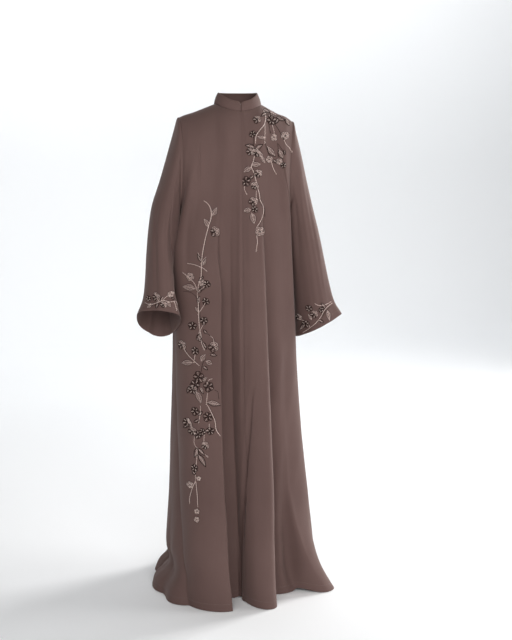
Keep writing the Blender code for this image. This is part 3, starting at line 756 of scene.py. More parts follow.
def yoke(angle, front):
    """The body above the underarm: rows of points from the top edge down to the chest ring."""
    top, share, along = top_edge(angle, front)
    chest = body_ring(angle, CHEST_Z)
    below = body_ring(angle, CHEST_Z - YOKE_SLOPE_STEP)
    reach = np.linalg.norm(chest - top, axis=1)[:, None]
    down = (below - chest) / np.linalg.norm(below - chest, axis=1)[:, None] * reach
    facing = -1.0 if front else 1.0
    outward = YOKE_OUTWARD + (1 - YOKE_OUTWARD) * share
    drop = (1 - share) * YOKE_DROP + YOKE_LEAST_DROP
    start = np.stack([np.zeros_like(share), facing * outward, -drop], axis=1)
    start = start / np.linalg.norm(start, axis=1)[:, None] * reach

    rows = yoke_rows()
    s = rows[:, None, None]
    points = between(s, top, start, chest, down)
    sides = {"right": angle < 0, "left": angle > 0}
    if not front:
        sides = {"right": angle > 180, "left": angle < 180}
    for side, mine in sides.items():
        edge = np.argmax(np.where(mine, along, -1.0))
        half_turn = 0.5 * rows
        turn = half_turn if front else 1.0 - half_turn
        correction = armhole(side, turn) - points[:, edge]
        points = points + correction[:, None, :] * (smooth_step(along) * mine)[None, :, None]
    edge = smooth_step(1.0 - (1.0 - along) / YOKE_EDGE_SHARE)[None, :, None]
    near_seam = np.maximum(1.0 - smooth_step(s / SEAM_FADE), edge)
    points[:, :, 1] += (0.5 * facing * SEAM_GAP * share[None, :, None] * near_seam)[:, :, 0]
    return points


def column_angles(start, end, count):
    """Angles of columns: one close to each edge, and the rest evenly along the cloth."""
    fine = np.linspace(start + SEAM_COLUMN_DEG, end - SEAM_COLUMN_DEG, COLUMN_TRIES)
    length = np.zeros(len(fine))
    for z, weight in ((HEM_Z, 1.0), (CHEST_Z, CHEST_WEIGHT)):
        ring = body_ring(fine, z)
        length[1:] += weight * np.cumsum(np.linalg.norm(np.diff(ring, axis=0), axis=1))
    inside = np.interp(np.linspace(0.0, length[-1], count - 2), length, fine)
    return np.concatenate([[start], inside, [end]])


def surface_normals(points):
    """Unit normals of a grid of points, facing outwards on a body panel."""
    across = np.gradient(points, axis=1)
    down = np.gradient(points, axis=0)
    normals = np.cross(down, across)
    return normals / np.linalg.norm(normals, axis=2)[:, :, None]


def yoke_rows():
    return np.linspace(0.0, 1.0, YOKE_ROWS) ** YOKE_ROW_POWER


def line_depth(across, down, before, after, full, line, lowest_first):
    """The push of one crease: its hump across the line, times its depth along the line."""
    at = np.array([row[0] for row in line])
    place = curve_through(at, [row[1] for row in line], down)
    depth = curve_through(at, [row[2] for row in line], down) / 1000
    first, last = (at.min(), at.max()) if lowest_first else (at.max(), at.min())
    inside = (down - first) * (last - first) >= 0
    if line[-1][2]:
        inside = inside | ((down - last) * (last - first) > 0)
    return bump(across - place, before, after, full) * depth * inside


def body_creases(angle, z):
    push = np.zeros(np.broadcast(angle, z).shape)
    around = np.where(angle > 270.0, angle - 360.0, angle)
    for _, before, after, full, line in CREASES:
        push = push + line_depth(around, z, before, after, full, line, False)
    turn, down = np.radians(around), (z - CHEST_Z) / (HEM_Z - CHEST_Z)
    strength = SWELL_AT_CHEST + (1 - SWELL_AT_CHEST) * smooth_step(down)
    for round_it, down_it, lean, phase, depth in SWELLS:
        wave = np.sin(round_it * turn + 2 * math.pi * down_it * down + lean * turn * down + phase)
        push = push + wave * strength * depth / 1000
    return push


def skirt_heights():
    return np.linspace(CHEST_Z - SKIRT_START, HEM_Z, SKIRT_ROWS)


def eased(points):
    """The yoke with its kinks let out across the cloth, its edges held."""
    rows = np.linspace(0.0, 1.0, len(points))[:, None, None]
    loose = smooth_step(rows / EASE_TOP) * smooth_step((1.0 - rows) / EASE_BOTTOM)
    for _ in range(EASE_PASSES):
        middle = (points[:, :-2] + 2 * points[:, 1:-1] + points[:, 2:]) / 4
        points[:, 1:-1] += (middle - points[:, 1:-1]) * loose
    return points


def eased_down(points, angle):
    """The bend at the chest let out down the cloth, away from the side seams."""
    near = 1.0 - smooth_step(np.abs(points[:, :, 2] - CHEST_Z) / WAIST_EASE)
    loose = (near * smooth_step(from_seam(angle) / WAIST_EASE_DEG)[None, :])[1:-1, :, None]
    for _ in range(EASE_PASSES):
        middle = (points[:-2] + 2 * points[1:-1] + points[2:]) / 4
        points[1:-1] += (middle - points[1:-1]) * loose
    return points


def body_panel(angle, front):
    """A body panel's grid, from its top edge to the hem, with its creases pressed in."""
    skirt = body_ring(angle[None, :], skirt_heights()[:, None])
    points = np.concatenate([eased(yoke(angle, front)), skirt])
    points = eased_down(points, angle)
    down = points[:, :, 2]
    push = body_creases(np.broadcast_to(angle[None, :], down.shape), down)
    rows = np.concatenate([yoke_rows(), np.ones(SKIRT_ROWS)])
    near_seam = smooth_step(from_seam(angle) / CREASE_SEAM_DEG)
    across = CREASE_AT_SEAM + (1 - CREASE_AT_SEAM) * near_seam
    held = smooth_step(rows / CREASE_TOP)[:, None] * across[None, :]
    return points + surface_normals(points) * (push * held)[:, :, None]


def rounded_shoulders(points):
    """The cloth lifted a little over each shoulder, inside the shoulder's tip."""
    for middle, lift in SHOULDER_LIFTS:
        away = (points - middle) / SHOULDER_REACH
        points = points + np.array([0.0, 0.0, lift]) * np.exp(-np.sum(away**2, axis=-1))[..., None]
    return points


def edge_ring(points, depth):
    """The first row of a grid turned in by this depth, and a row that keeps the turn crisp."""
    normals = surface_normals(points)
    near = points[:1] + (points[1:2] - points[:1]) * EDGE_SHARE
    return np.concatenate([points[:1] - normals[:1] * depth, points[:1], near, points[1:]])


def folded_edges(points, top=0.0, bottom=0.0, left=0.0, right=0.0):
    """The grid with its edges turned in, by these depths, as sewn and hemmed cloth is."""
    if top:
        points = edge_ring(points, top)
    if bottom:
        points = edge_ring(points[::-1], -bottom)[::-1]
    if left:
        points = edge_ring(points.swapaxes(0, 1), -left).swapaxes(0, 1)
    if right:
        points = edge_ring(points.swapaxes(0, 1)[::-1], right)[::-1].swapaxes(0, 1)
    return points


def lap_angles():
    return np.linspace(LAP_EDGE_DEG - LAP_UNDER_DEG, LAP_EDGE_DEG, LAP_COLUMNS)


def right_front():
    lap = lap_angles()
    outside = column_angles(-90.0 + SEAM_NARROW_DEG, lap[0], FRONT_COLUMNS)
    return body_panel(np.concatenate([outside[:-1], lap]), True)


def left_front():
    """The left front, set in where the right front laps over it."""
    lap = lap_angles()
    outside = column_angles(lap[-1], 90.0 - SEAM_NARROW_DEG, FRONT_COLUMNS)
    angle = np.concatenate([lap, outside[1:]])
    points = body_panel(angle, True)
    covered = 1.0 - smooth_step((angle - LAP_EDGE_DEG - SEAM_COLUMN_DEG) / LAP_RISE_DEG)
    inset = (CLOTH + LAP_INSET) * covered
    return points - surface_normals(points) * inset[None, :, None]


def back():
    angle = column_angles(90.0 + SEAM_NARROW_DEG, 270.0 - SEAM_NARROW_DEG, BACK_COLUMNS)
    return body_panel(angle, False)


def sleeve(side):
    """A sleeve's rings from the armhole seam to the cuff, each a closed loop of points."""
    turn = np.linspace(0.0, 1.0, SLEEVE_TURNS + 1)[:-1]
    rows = np.array(SLEEVES[side]) / 1000
    outer, inner, shape = rows[:, 0:3], rows[:, 3:6], rows[:, 6:9]
    outwards = -1.0 if side == "right" else 1.0
    head = np.array([outwards, 1.0, 1.0]) * SLEEVE_HEAD_STEP
    outer = np.vstack([SHOULDER_TIP[side], SHOULDER_TIP[side] + head, outer])
    inner = np.vstack([UNDERARM[side], UNDERARM[side] + head, inner])
    head_shapes = [(ARMHOLE_FRONT - narrow, 0.0, 0.0) for narrow in (0.0, SLEEVE_HEAD_NARROW)]
    shape = np.vstack([head_shapes, shape])
    middle, half = (outer + inner) / 2, (outer - inner) / 2

    station = np.arange(len(outer), dtype=float)
    at = np.linspace(0.0, station[-1], SLEEVE_ROWS)
    middle, half, shape = (
        np.stack([curve_through(station, part[:, k], at) for k in range(3)], axis=1)
        for part in (middle, half, shape)
    )
    half_depth, front_lift, back_drop = shape.T

    along = at / station[-1]
    n = SLEEVE_RING_POWER
    cos, sin = np.cos(2 * math.pi * turn), np.sin(2 * math.pi * turn)
    square = (np.abs(cos) ** n + np.abs(sin) ** n) ** (-1 / n)
    squareness = smooth_step(along / SLEEVE_SQUARE_FADE)[:, None]
    size = 1.0 + (square - 1.0)[None, :] * squareness
    for centre, width, depth, start in SLEEVE_WAVES[side]:
        grow = smooth_step((along - start) / (1.0 - start))[:, None]
        off = (turn - centre + 0.5) % 1.0 - 0.5
        size = size + depth / half_depth[-1] * grow * bump(off, width, width, 1.0)[None, :]
    forward = np.array([0.0, -1.0, 0.0])
    lift = np.where(sin > 0, front_lift[:, None], back_drop[:, None])
    points = (
        middle[:, None, :]
        + (size * cos)[:, :, None] * half[:, None, :]
        + (size * sin * half_depth[:, None])[:, :, None] * forward
        + (size * sin * lift)[:, :, None] * np.array([0.0, 0.0, 1.0])
    )
    points[0] = armhole(side, turn)
    curve = ARMHOLE_CURVE[side] * (1.0 - smooth_step(along / ARMHOLE_CURVE_FADE))
    points[1:, :, 0] -= outwards * curve[1:, None] * sin[None, :] ** 2
    points[:, :, 0] += outwards * SLEEVE_SEAM_GAP

    push = np.zeros(points.shape[:2])
    for before, after, full, line in SLEEVE_CREASES[side]:
        push += line_depth(turn[None, :], along[:, None], before, after, full, line, True)
    grown = smooth_step((along - SLEEVE_RIPPLE_START) / SLEEVE_RIPPLE_FADE)[:, None]
    for count, winding, phase, depth in SLEEVE_RIPPLES:
        around = 2 * math.pi * count * turn[None, :]
        push += depth * np.sin(around + winding * along[:, None] + phase) * grown
    push *= smooth_step(along / SLEEVE_HELD)[:, None]
    normals = ring_normals(points, side)
    return points + normals * push[:, :, None]


def ring_normals(points, side):
    """Unit normals of a closed grid of rings, facing out of the sleeve."""
    wide = np.concatenate([points[:, -1:], points, points[:, :1]], axis=1)
    normals = surface_normals(wide)[:, 1:-1]
    return normals * (1.0 if side == "right" else -1.0)


def collar():
    """The stand collar: rows from the neckline up to its top edge, from one end to the other."""
    end = math.degrees(COLLAR_END_GAP / 2 / NECK_HALF_WIDTH)
    turn = np.linspace(end, 360.0 - end, COLLAR_POINTS)
    base = neckline(turn)
    along = np.cos(np.radians(turn))
    height, lean = (
        side + (np.where(along > 0, front, nape) - side) * along**2
        for front, side, nape in (COLLAR_HEIGHT, COLLAR_LEAN)
    )
    from_end = np.degrees(np.arccos(np.clip(along, -1.0, 1.0)))
    corner = 1.0 - np.clip(from_end / COLLAR_CORNER_DEG, 0.0, 1.0)
    height = height - COLLAR_CORNER * corner**2
    inward = -base * np.array([1.0, 1.0, 0.0])
    inward = inward / np.linalg.norm(inward, axis=1)[:, None]
    rows = []
    for s in np.linspace(1.0, 0.0, COLLAR_ROWS):
        lift = SEAM_GAP + (height - SEAM_GAP) * s
        curve_in = lean * (COLLAR_LEAN_STRAIGHT * s + COLLAR_LEAN_CURVED * s**2)
        rows.append(base + inward * curve_in[:, None] + lift[:, None] * np.array([0.0, 0.0, 1.0]))
    return np.array(rows)


def new_object(name, mesh):
    piece = bpy.data.objects.new(name, mesh)
    bpy.context.scene.collection.objects.link(piece)
    return piece


def smooth_mesh(name, points, faces):
    mesh = bpy.data.meshes.new(name)
    mesh.from_pydata(points, [], faces)
    mesh.shade_smooth()
    return mesh


def grid_faces(rows, columns):
    """The faces of a grid of points, row by row, as the numbers of their corners."""
    at = np.arange(rows * columns).reshape(rows, columns)[:-1, :-1].reshape(-1, 1)
    return at + np.array([0, columns, columns + 1, 1])


def cloth_piece(name, points, closed, wall, material):
    """A thin shell of cloth on a grid of points, with a UV map in metres along the cloth."""
    columns = points.shape[1]
    flat = points.reshape(-1, 3).tolist()
    if closed:
        points = joined(points)
    rows, wide = points.shape[:2]
    step_u = np.linalg.norm(np.diff(points, axis=1), axis=2)
    step_v = np.linalg.norm(np.diff(points, axis=0), axis=2)
    u = np.concatenate([np.zeros((rows, 1)), np.cumsum(step_u, axis=1)], axis=1)
    u = u - u[:, wide // 2][:, None]
    v = -np.concatenate([np.zeros((1, wide)), np.cumsum(step_v, axis=0)])
    row, column = np.divmod(grid_faces(rows, wide), wide)
    mesh = smooth_mesh(name, flat, (row * columns + column % columns).tolist())
    uv = np.stack([u[row, column], v[row, column]], axis=-1)
    mesh.uv_layers.new(name="cloth").data.foreach_set("uv", uv.astype(np.float32).ravel())
    mesh.materials.append(material)
    piece = new_object(name, mesh)
    shell = piece.modifiers.new("Wall", "SOLIDIFY")
    shell.thickness, shell.offset, shell.use_even_offset = wall, -1.0, False
    return piece


def joined(points):
    """A closed grid of rings with its first column repeated at its end."""
    return np.concatenate([points, points[:, :1]], axis=1)


def node_setter(tree):
    """A function that makes or sets up a tree's nodes.

    Each setting is a value, or the node or socket that feeds it: a node stands for its first
    output. A socket's name has _ for a space, and sockets without a name come in their order.
    """

    def put(node, *inputs, **settings):
        if isinstance(node, str):
            node = tree.nodes.new(node)
        for key, value in (*settings.items(), *enumerate(inputs)):
            socket = key if isinstance(key, int) else key.replace("_", " ")
            if isinstance(value, bpy.types.Node):
                value = value.outputs[0]
            if isinstance(value, bpy.types.NodeSocket):
                tree.links.new(value, node.inputs[socket])
            elif isinstance(key, int) or socket in node.inputs:
                node.inputs[socket].default_value = value
            else:
                setattr(node, key, value)
        return node

    return put


def node_material(name):
    """A new material, its shader and the setter of its nodes."""
    material = bpy.data.materials.new(name)
    material.use_nodes = True
    tree = material.node_tree
    return material, tree.nodes["Principled BSDF"], node_setter(tree)


def colour_ramp(put, shade, stops):
    ramp = put("ShaderNodeValToRGB", shade)
    elements = ramp.color_ramp.elements
    for element, (position, colour) in zip(elements, (stops[0], stops[-1])):
        element.position, element.color = position, (*colour, 1.0)
    for position, colour in stops[1:-1]:
        elements.new(position).color = (*colour, 1.0)
    return ramp


def crepe_material(name, deep, mid, light):
    """Matt crepe: a pebbled twist in the yarn, a faint weave and slow clouding of the dye."""
    material, shader, put = node_material(name)
    place = put("ShaderNodeTexCoord").outputs["Object"]
    flat = put("ShaderNodeUVMap", uv_map="cloth")
    clouds = put("ShaderNodeTexNoise", Vector=place, Scale=3.2, Detail=4.0, Roughness=0.55)
    pebble = put("ShaderNodeTexNoise", Vector=flat, Scale=620.0, Detail=3.0, Roughness=0.6)
    drawn_out = put("ShaderNodeMapping", Vector=flat, Scale=(1.0, 0.06, 1.0))
    streaks = put("ShaderNodeTexNoise", Vector=drawn_out, Scale=260.0, Detail=2.0, Roughness=0.5)
    fine = put("ShaderNodeMix", data_type="FLOAT", Factor=0.12, A=pebble, B=streaks)
    shade = put("ShaderNodeMix", data_type="FLOAT", Factor=0.45, A=clouds, B=fine)
    warp, weft = (
        put("ShaderNodeTexWave", wave_type="BANDS", bands_direction=way, Vector=flat,
            Scale=320.0, Distortion=1.6, Detail_Scale=3.0).outputs["Fac"]
        for way in "XY"
    )
    woven = put("ShaderNodeMath", warp, weft, operation="MULTIPLY")
    relief = put("ShaderNodeMath", woven, 0.35, pebble, operation="MULTIPLY_ADD")
    put(
        shader,
        Base_Color=colour_ramp(put, shade, ((0.34, deep), (0.50, mid), (0.66, light))),
        Normal=put("ShaderNodeBump", Strength=0.28, Distance=0.0004, Height=relief),
        Roughness=put("ShaderNodeMapRange", Value=pebble, To_Min=0.74, To_Max=0.90),
        Specular_IOR_Level=0.25,
        Sheen_Weight=0.12,
        Sheen_Roughness=0.45,
        Sheen_Tint=(0.90, 0.72, 0.66, 1.0),
    )
    return material


def thread_material(name, dark, light, twists, metallic, roughness, shine):
    """Twisted embroidery thread: fine slanting plies, painted lighter on their tops as highlight.
    """
    material, shader, put = node_material(name)
    place = put("ShaderNodeTexCoord").outputs["Object"]
    plies = put("ShaderNodeTexWave", wave_type="BANDS", bands_direction="DIAGONAL", Vector=place,
                Scale=twists, Distortion=0.8).outputs["Fac"]
    dye = put("ShaderNodeTexNoise", Vector=place, Scale=140.0, Detail=2.0)
    # Painted highlight: the plies' tops are coloured lighter, mixed with the dye's own tone
    shade = put("ShaderNodeMix", data_type="FLOAT", Factor=0.4, A=plies, B=dye)
    put(
        shader,
        Base_Color=colour_ramp(put, shade, ((0.2, dark), (0.75, light))),
        Normal=put("ShaderNodeBump", Strength=0.5, Distance=0.0002, Height=plies),
        Metallic=metallic,
        Roughness=roughness,
        Specular_IOR_Level=shine,
        Sheen_Weight=0.6 * shine,
    )
    return material


def bead_material(name, dark, light, metallic, roughness, shine):
    """Small glass beads, each a little different in tone from its neighbours."""
    material, shader, put = node_material(name)
    place = put("ShaderNodeTexCoord").outputs["Object"]
    tone = put("ShaderNodeTexNoise", Vector=place, Scale=210.0, Detail=1.0)
    put(
        shader,
        Base_Color=colour_ramp(put, tone, ((0.35, dark), (0.68, light))),
        Roughness=put("ShaderNodeMapRange", Value=tone, To_Min=roughness * 0.7,
                      To_Max=roughness * 1.4),
        Metallic=metallic,
        Specular_IOR_Level=shine,
    )
    return material


def tree_with(name, sizes):
    """A geometry node tree with named number inputs, the setter of its nodes and its input."""
    tree = bpy.data.node_groups.new(name, "GeometryNodeTree")
    tree.interface.new_socket("Geometry", in_out="INPUT", socket_type="NodeSocketGeometry")
    keys = {}
    for label, value in sizes.items():
        socket = tree.interface.new_socket(label, in_out="INPUT", socket_type="NodeSocketFloat")
        socket.default_value = value
        keys[label] = socket.identifier
    tree.interface.new_socket("Geometry", in_out="OUTPUT", socket_type="NodeSocketGeometry")
    put = node_setter(tree)
    return tree, keys, put, put("NodeGroupInput")


def give_out(put, geometry, material):
    """A tree's last nodes: real geometry, in its material, given out."""
    real = put("GeometryNodeRealizeInstances", geometry)
    put("NodeGroupOutput", put("GeometryNodeSetMaterial", real, Material=material))


def cord_tree(material):
    """Round thread along lines, as wide as each point's width times Scale."""
    tree, keys, put, given = tree_with("thread_on_lines", {"Scale": 1.0})
    curves = put("GeometryNodeMeshToCurve", given)
    width = put("GeometryNodeInputNamedAttribute", Name="width")
    radius = put("ShaderNodeMath", width, given.outputs["Scale"], operation="MULTIPLY")
    ring = put("GeometryNodeCurvePrimitiveCircle", Resolution=CORD_SIDES, Radius=1.0)
    tube = put("GeometryNodeCurveToMesh", curves, ring, Scale=radius, Fill_Caps=True)
    give_out(put, put("GeometryNodeSetShadeSmooth", tube), material)
    return tree, keys


def repeat_tree(name, item, material, seed):
    """Copies of a small item along lines, a step apart and turned to follow them."""
    tree, keys, put, given = tree_with(name, {"Step": BEAD_STEP, "Size": 1.0, "Vary": 0.1})
    step, size, vary = (given.outputs[label] for label in keys)
    curves = put("GeometryNodeMeshToCurve", given)
    points = put("GeometryNodeResampleCurve", curves, mode="LENGTH", Length=step)
    shape = put("GeometryNodeObjectInfo", Object=item)
    tangent = put("GeometryNodeInputTangent")
    follow = put("FunctionNodeAlignRotationToVector", axis="X", Vector=tangent)
    chance = put("FunctionNodeRandomValue", data_type="FLOAT", Seed=seed)
    limits = [socket for socket in chance.inputs if socket.type == "VALUE"]
    for limit, way in zip(limits, ("SUBTRACT", "ADD")):
        tree.links.new(put("ShaderNodeMath", size, vary, operation=way).outputs[0], limit)
    drawn = next(socket for socket in chance.outputs if socket.type == "VALUE")
    copies = put("GeometryNodeInstanceOnPoints", Points=points, Rotation=follow, Scale=drawn,
                 Instance=shape.outputs["Geometry"])
    give_out(put, copies, material)
    return tree, keys


def sewn(name, lines, tree, keys, sizes):
    """Lines with the widths at their points, made into a plain mesh by a tree."""
    points, edges, widths = [], [], []
    for line, width in lines:
        start = len(points)
        points += [tuple(point) for point in line]
        edges += [(start + k, start + k + 1) for k in range(len(line) - 1)]
        widths += list(np.broadcast_to(width, len(line)))
    drawn = bpy.data.meshes.new(f"{name}_lines")
    drawn.from_pydata(points, edges, [])
    drawn.attributes.new("width", "FLOAT", "POINT").data.foreach_set("value", widths)
    guide = new_object(f"{name}_lines", drawn)
    modifier = guide.modifiers.new("Make", "NODES")
    modifier.node_group = tree
    for label, value in sizes.items():
        modifier[keys[label]] = value
    bpy.context.view_layer.update()
    graph = bpy.context.evaluated_depsgraph_get()
    mesh = bpy.data.meshes.new_from_object(guide.evaluated_get(graph))
    mesh.name = name
    guide.modifiers.remove(modifier)
    bpy.data.objects.remove(guide, do_unlink=True)
    bpy.data.meshes.remove(drawn)
    return new_object(name, mesh)


def seed_bead():
    """A small round bead with a hole along X, of a few dozen faces."""
    points, faces = [], []
    middle, half = (BEAD_RADIUS + BEAD_HOLE) / 2, (BEAD_RADIUS - BEAD_HOLE) / 2
    for i in range(BEAD_SIDES):
        a = 2 * math.pi * i / BEAD_SIDES
        here, beyond = i * BEAD_ROUND, ((i + 1) % BEAD_SIDES) * BEAD_ROUND
        for j in range(BEAD_ROUND):
            b = 2 * math.pi * j / BEAD_ROUND
            reach = middle + half * math.cos(b)
            points.append((BEAD_RADIUS * BEAD_LENGTH * math.sin(b), reach * math.cos(a),
                           reach * math.sin(a)))
            after = (j + 1) % BEAD_ROUND
            faces.append((here + j, here + after, beyond + after, beyond + j))
    return bpy.data.objects.new("bead", smooth_mesh("bead", points, faces))


def stitch_loop():
    """One stitch: a thread that rises a little between the two holes it goes into."""
    points, faces, sides = [], [], STITCH_SIDES
    for i, s in enumerate(STITCH_STATIONS):
        rise = STITCH_THREAD * (STITCH_RISE - STITCH_DIP * (abs(s) * 2) ** 4)
        for j in range(sides):
            b = 2 * math.pi * j / sides
            points.append((s * STITCH_LENGTH, STITCH_THREAD * math.sin(b),
                           rise + STITCH_THREAD * math.cos(b)))
            if i:
                low, high, after = (i - 1) * sides, i * sides, (j + 1) % sides
                faces.append((low + j, high + j, high + after, low + after))
    faces += [range(sides)[::-1], range(len(points) - sides, len(points))]
    faces = [tuple(face) for face in faces]
    return bpy.data.objects.new("stitch", smooth_mesh("stitch", points, faces))


class Vine:
    """A vine on its cloth: lines sewn at places that are found from the flat drawing."""

    def __init__(self, grids):
        points, faces = [], []
        for grid in grids:
            faces += (len(points) + grid_faces(*grid.shape[:2])).tolist()
            points += [tuple(p) for p in grid.reshape(-1, 3)]
        self.cloth = BVHTree.FromPolygons(points, faces)
        turn = math.radians(DRAWN_FROM_DEG)
        self.across = Vector((math.cos(turn), math.sin(turn), 0.0))
        self.into = Vector((-math.sin(turn), math.cos(turn), 0.0))
        self.last = 1.0
        self.work = {kind: [] for kind in EMBROIDERY}

    def place(self, u, z, lift):
        """The point over the cloth at this place of the drawing, in metres."""
        start = self.across * (u / 1000) + Vector((0.0, 0.0, z / 1000)) - self.into
        hit, normal = self.cloth.ray_cast(start, self.into)[:2]
        if hit is None:
            hit, normal = self.cloth.find_nearest(start + self.into * self.last)[:2]
        self.last = (hit - start).dot(self.into)
        if normal.dot(self.into) > 0:
            normal = -normal
        return hit + normal * (lift / 1000)

    def sew(self, kind, flat, lift, width=0.0):
        """A line of the drawing laid at this height over the cloth."""
        self.work[kind].append(([self.place(u, z, lift) for u, z in flat], width))


def smooth_line(points, step):
    """A smooth curve through flat points, about a step apart."""
    points = np.array(points, float)
    lengths = np.concatenate([[0.0], np.cumsum(np.linalg.norm(np.diff(points, axis=0), axis=1))])
    count = max(3, int(lengths[-1] / step) + 1)
    at = np.linspace(0.0, lengths[-1], count)
    return np.stack([curve_through(lengths, points[:, k], at) for k in range(2)], axis=1)


def petal_edge():
    """A petal's edge, up from the flower's middle: narrow at its foot, broad and notched."""
    s = np.linspace(0.0, 1.0, PETAL_POINTS)
    around = math.pi * (s - 0.5) * PETAL_ARC
    up = PETAL_MIDDLE + PETAL_HALF_HEIGHT * np.cos(around)
    up = up - PETAL_NOTCH * np.exp(-((s - 0.5) / PETAL_NOTCH_WIDTH) ** 2)
    foot = np.array([[0.0, PETAL_FOOT]])
    return np.concatenate([foot, np.stack([PETAL_HALF_WIDTH * np.sin(around), up], axis=1), foot])


def petal(vine, middle, size, degrees, dark):
    """One open petal edged with beads or cord, with its threads and a glint of beads."""
    turn = math.radians(degrees)

    def drawn(shape, scale=1.0):
        x, y = np.transpose(shape) * (size * scale)
        across = x * math.cos(turn) - y * math.sin(turn)
        up = x * math.sin(turn) + y * math.cos(turn)
        return np.stack([across, up], axis=1) + middle

    outline = petal_edge()
    edge = drawn(outline)
    if dark:
        vine.sew("dark_beads", edge[1:-1], BEAD_LIFT)
        vine.sew("dark_cords", edge, SHADOW_LIFT, UNDER_BEADS)
        vine.sew("dark_cords", drawn(outline, INNER_PETAL), SHADOW_LIFT, SHADOW_CORD)
    else:
        vine.sew("dark_cords", drawn(outline, OUTER_PETAL), SHADOW_LIFT, SHADOW_CORD)
        vine.sew("pale_cords", edge, CORD_LIFT, PETAL_CORD)
    for lean in (0.0,) if dark else PETAL_LEANS:
        out = drawn([(across * lean, up) for across, up in PETAL_THREAD])
        vine.sew("pale_threads", out, THREAD_LIFT, THREAD)
    vine.sew("pale_beads", drawn(PETAL_GLINT), BEAD_LIFT)


def flower(vine, u, z, radius, turn, thread):
    """Five petals, each a little off its even turn and size, round a heart of beads."""
    for k in range(PETALS):
        degrees = turn + 360.0 / PETALS * k + PETAL_OFF_DEG * math.sin(TURN_CHANGE * k + u)
        size = radius * (1.0 + PETAL_OFF_SIZE * math.sin(SIZE_CHANGE * k + z))
        shade = math.cos(math.radians(degrees - SHADED_SIDE_DEG))
        dark = thread == "dark" or (thread == "mixed" and shade > SHADED_FROM)
        petal(vine, (u, z), size, degrees, dark)
    heart = HEART * radius
    ring = [(u + heart * math.cos(a), z + heart * math.sin(a))
            for a in np.linspace(0.0, 2 * math.pi, HEART_POINTS)]
    vine.sew("dark_beads", ring, BEAD_LIFT)


def leaf(vine, u0, z0, u1, z1, half, thread):
    """An open leaf: two bowed edges, a vein, and a few slanting threads on each side of it."""
    base, tip = np.array([u0, z0], float), np.array([u1, z1], float)
    length = np.linalg.norm(tip - base)
    along = (tip - base) / length
    side = np.array([-along[1], along[0]])
    bend = LEAF_BEND * length * math.sin(u0 + z1)

    def at(s, w):
        wide = half * math.sin(math.pi * min(1.0, max(0.0, s)) ** LEAF_SHAPE) * w
        return base + along * length * s + side * (wide + bend * s * (1 - s) * 2)

    for w in (-1.0, 1.0):
        edge = [at(s, w) for s in np.linspace(*LEAF_EDGE_SPAN, LEAF_POINTS)]
        if thread == "dark" or (thread == "mixed" and w * side[0] < 0):
            vine.sew("dark_beads", edge, BEAD_LIFT)
            vine.sew("dark_cords", edge, SHADOW_LIFT, UNDER_BEADS)
        else:
            widths = PETAL_CORD * np.linspace(*LEAF_CORD, LEAF_POINTS)
            vine.sew("pale_cords", edge, CORD_LIFT, widths)
            along_it = np.linspace(*LEAF_OUTLINE_SPAN, LEAF_POINTS)
            outline = [at(s, LEAF_OUTLINE * w) for s in along_it]
            vine.sew("dark_cords", outline, SHADOW_LIFT, SHADOW_CORD)
        for s in np.linspace(*LEAF_THREADS_SPAN, max(3, int(length / LEAF_THREAD_STEP))):
            slanting = [at(s + on, out * w) for on, out in LEAF_THREAD]
            vine.sew("pale_threads", slanting, CORD_LIFT, THREAD)
    vein = [at(s, 0.0) for s in np.linspace(*VEIN_SPAN, VEIN_POINTS)]
    vine.sew("pale_cords", vein, VEIN_LIFT, np.linspace(*VEIN_WIDTHS, VEIN_POINTS))


def stem(vine, thread, half, flat):
    """Two cords wound round each other along a stem, with a dark thread of painted shadow beside a
    thick one.
    """
    line = smooth_line(flat, STEM_STEP)
    s = np.linspace(0.0, 1.0, len(line))
    taper = STEM_END + (1 - STEM_END) * np.clip(np.minimum(s, 1 - s) / STEM_TAPER, 0.0, 1.0)
    step = np.gradient(line, axis=0)
    across = np.stack([-step[:, 1], step[:, 0]], axis=1) / np.linalg.norm(step, axis=1)[:, None]
    wind = WIND_REACH * half * np.sin(s * len(line) * WIND_RATE)
    for way in (-1.0, 1.0):
        ply = line + across * (way * wind)[:, None]
        vine.sew(f"{thread}_cords", ply, CORD_LIFT * half, taper * half * PLY)
    # A dark cord beside a thick pale stem stands in for its shadow: painted shadow
    if half >= THICK_STEM and thread == "pale":
        off = STEM_SHADOW_REACH * half + STEM_SHADOW_WAVE * np.sin(s * len(line) * STEM_SHADOW_RATE)
        beside = (line + across * off[:, None])[(s > STEM_SHADOW_FROM) & (s < STEM_SHADOW_TO)]
        vine.sew("dark_cords", beside, STEM_SHADOW_LIFT, SHADOW_CORD)
    if half < THICK_STEM:
        end, way = line[-1], (line[-1] - line[-3]) / np.linalg.norm(line[-1] - line[-3])
        bud = [end + on * way + out * across[-1] for on, out in BUD]
        vine.sew(f"{thread}_beads", bud, BEAD_LIFT)


def beside_hem(points, distance):
    """The line on a grid at this distance up the cloth from its last row."""
    rows = points[::-1]
    away = np.cumsum(np.linalg.norm(np.diff(rows, axis=0), axis=2), axis=0)
    away = np.concatenate([np.zeros((1, rows.shape[1])), away])
    return np.array([
        [np.interp(distance, away[:, column], rows[:, column, k]) for k in range(3)]
        for column in range(rows.shape[1])
    ])


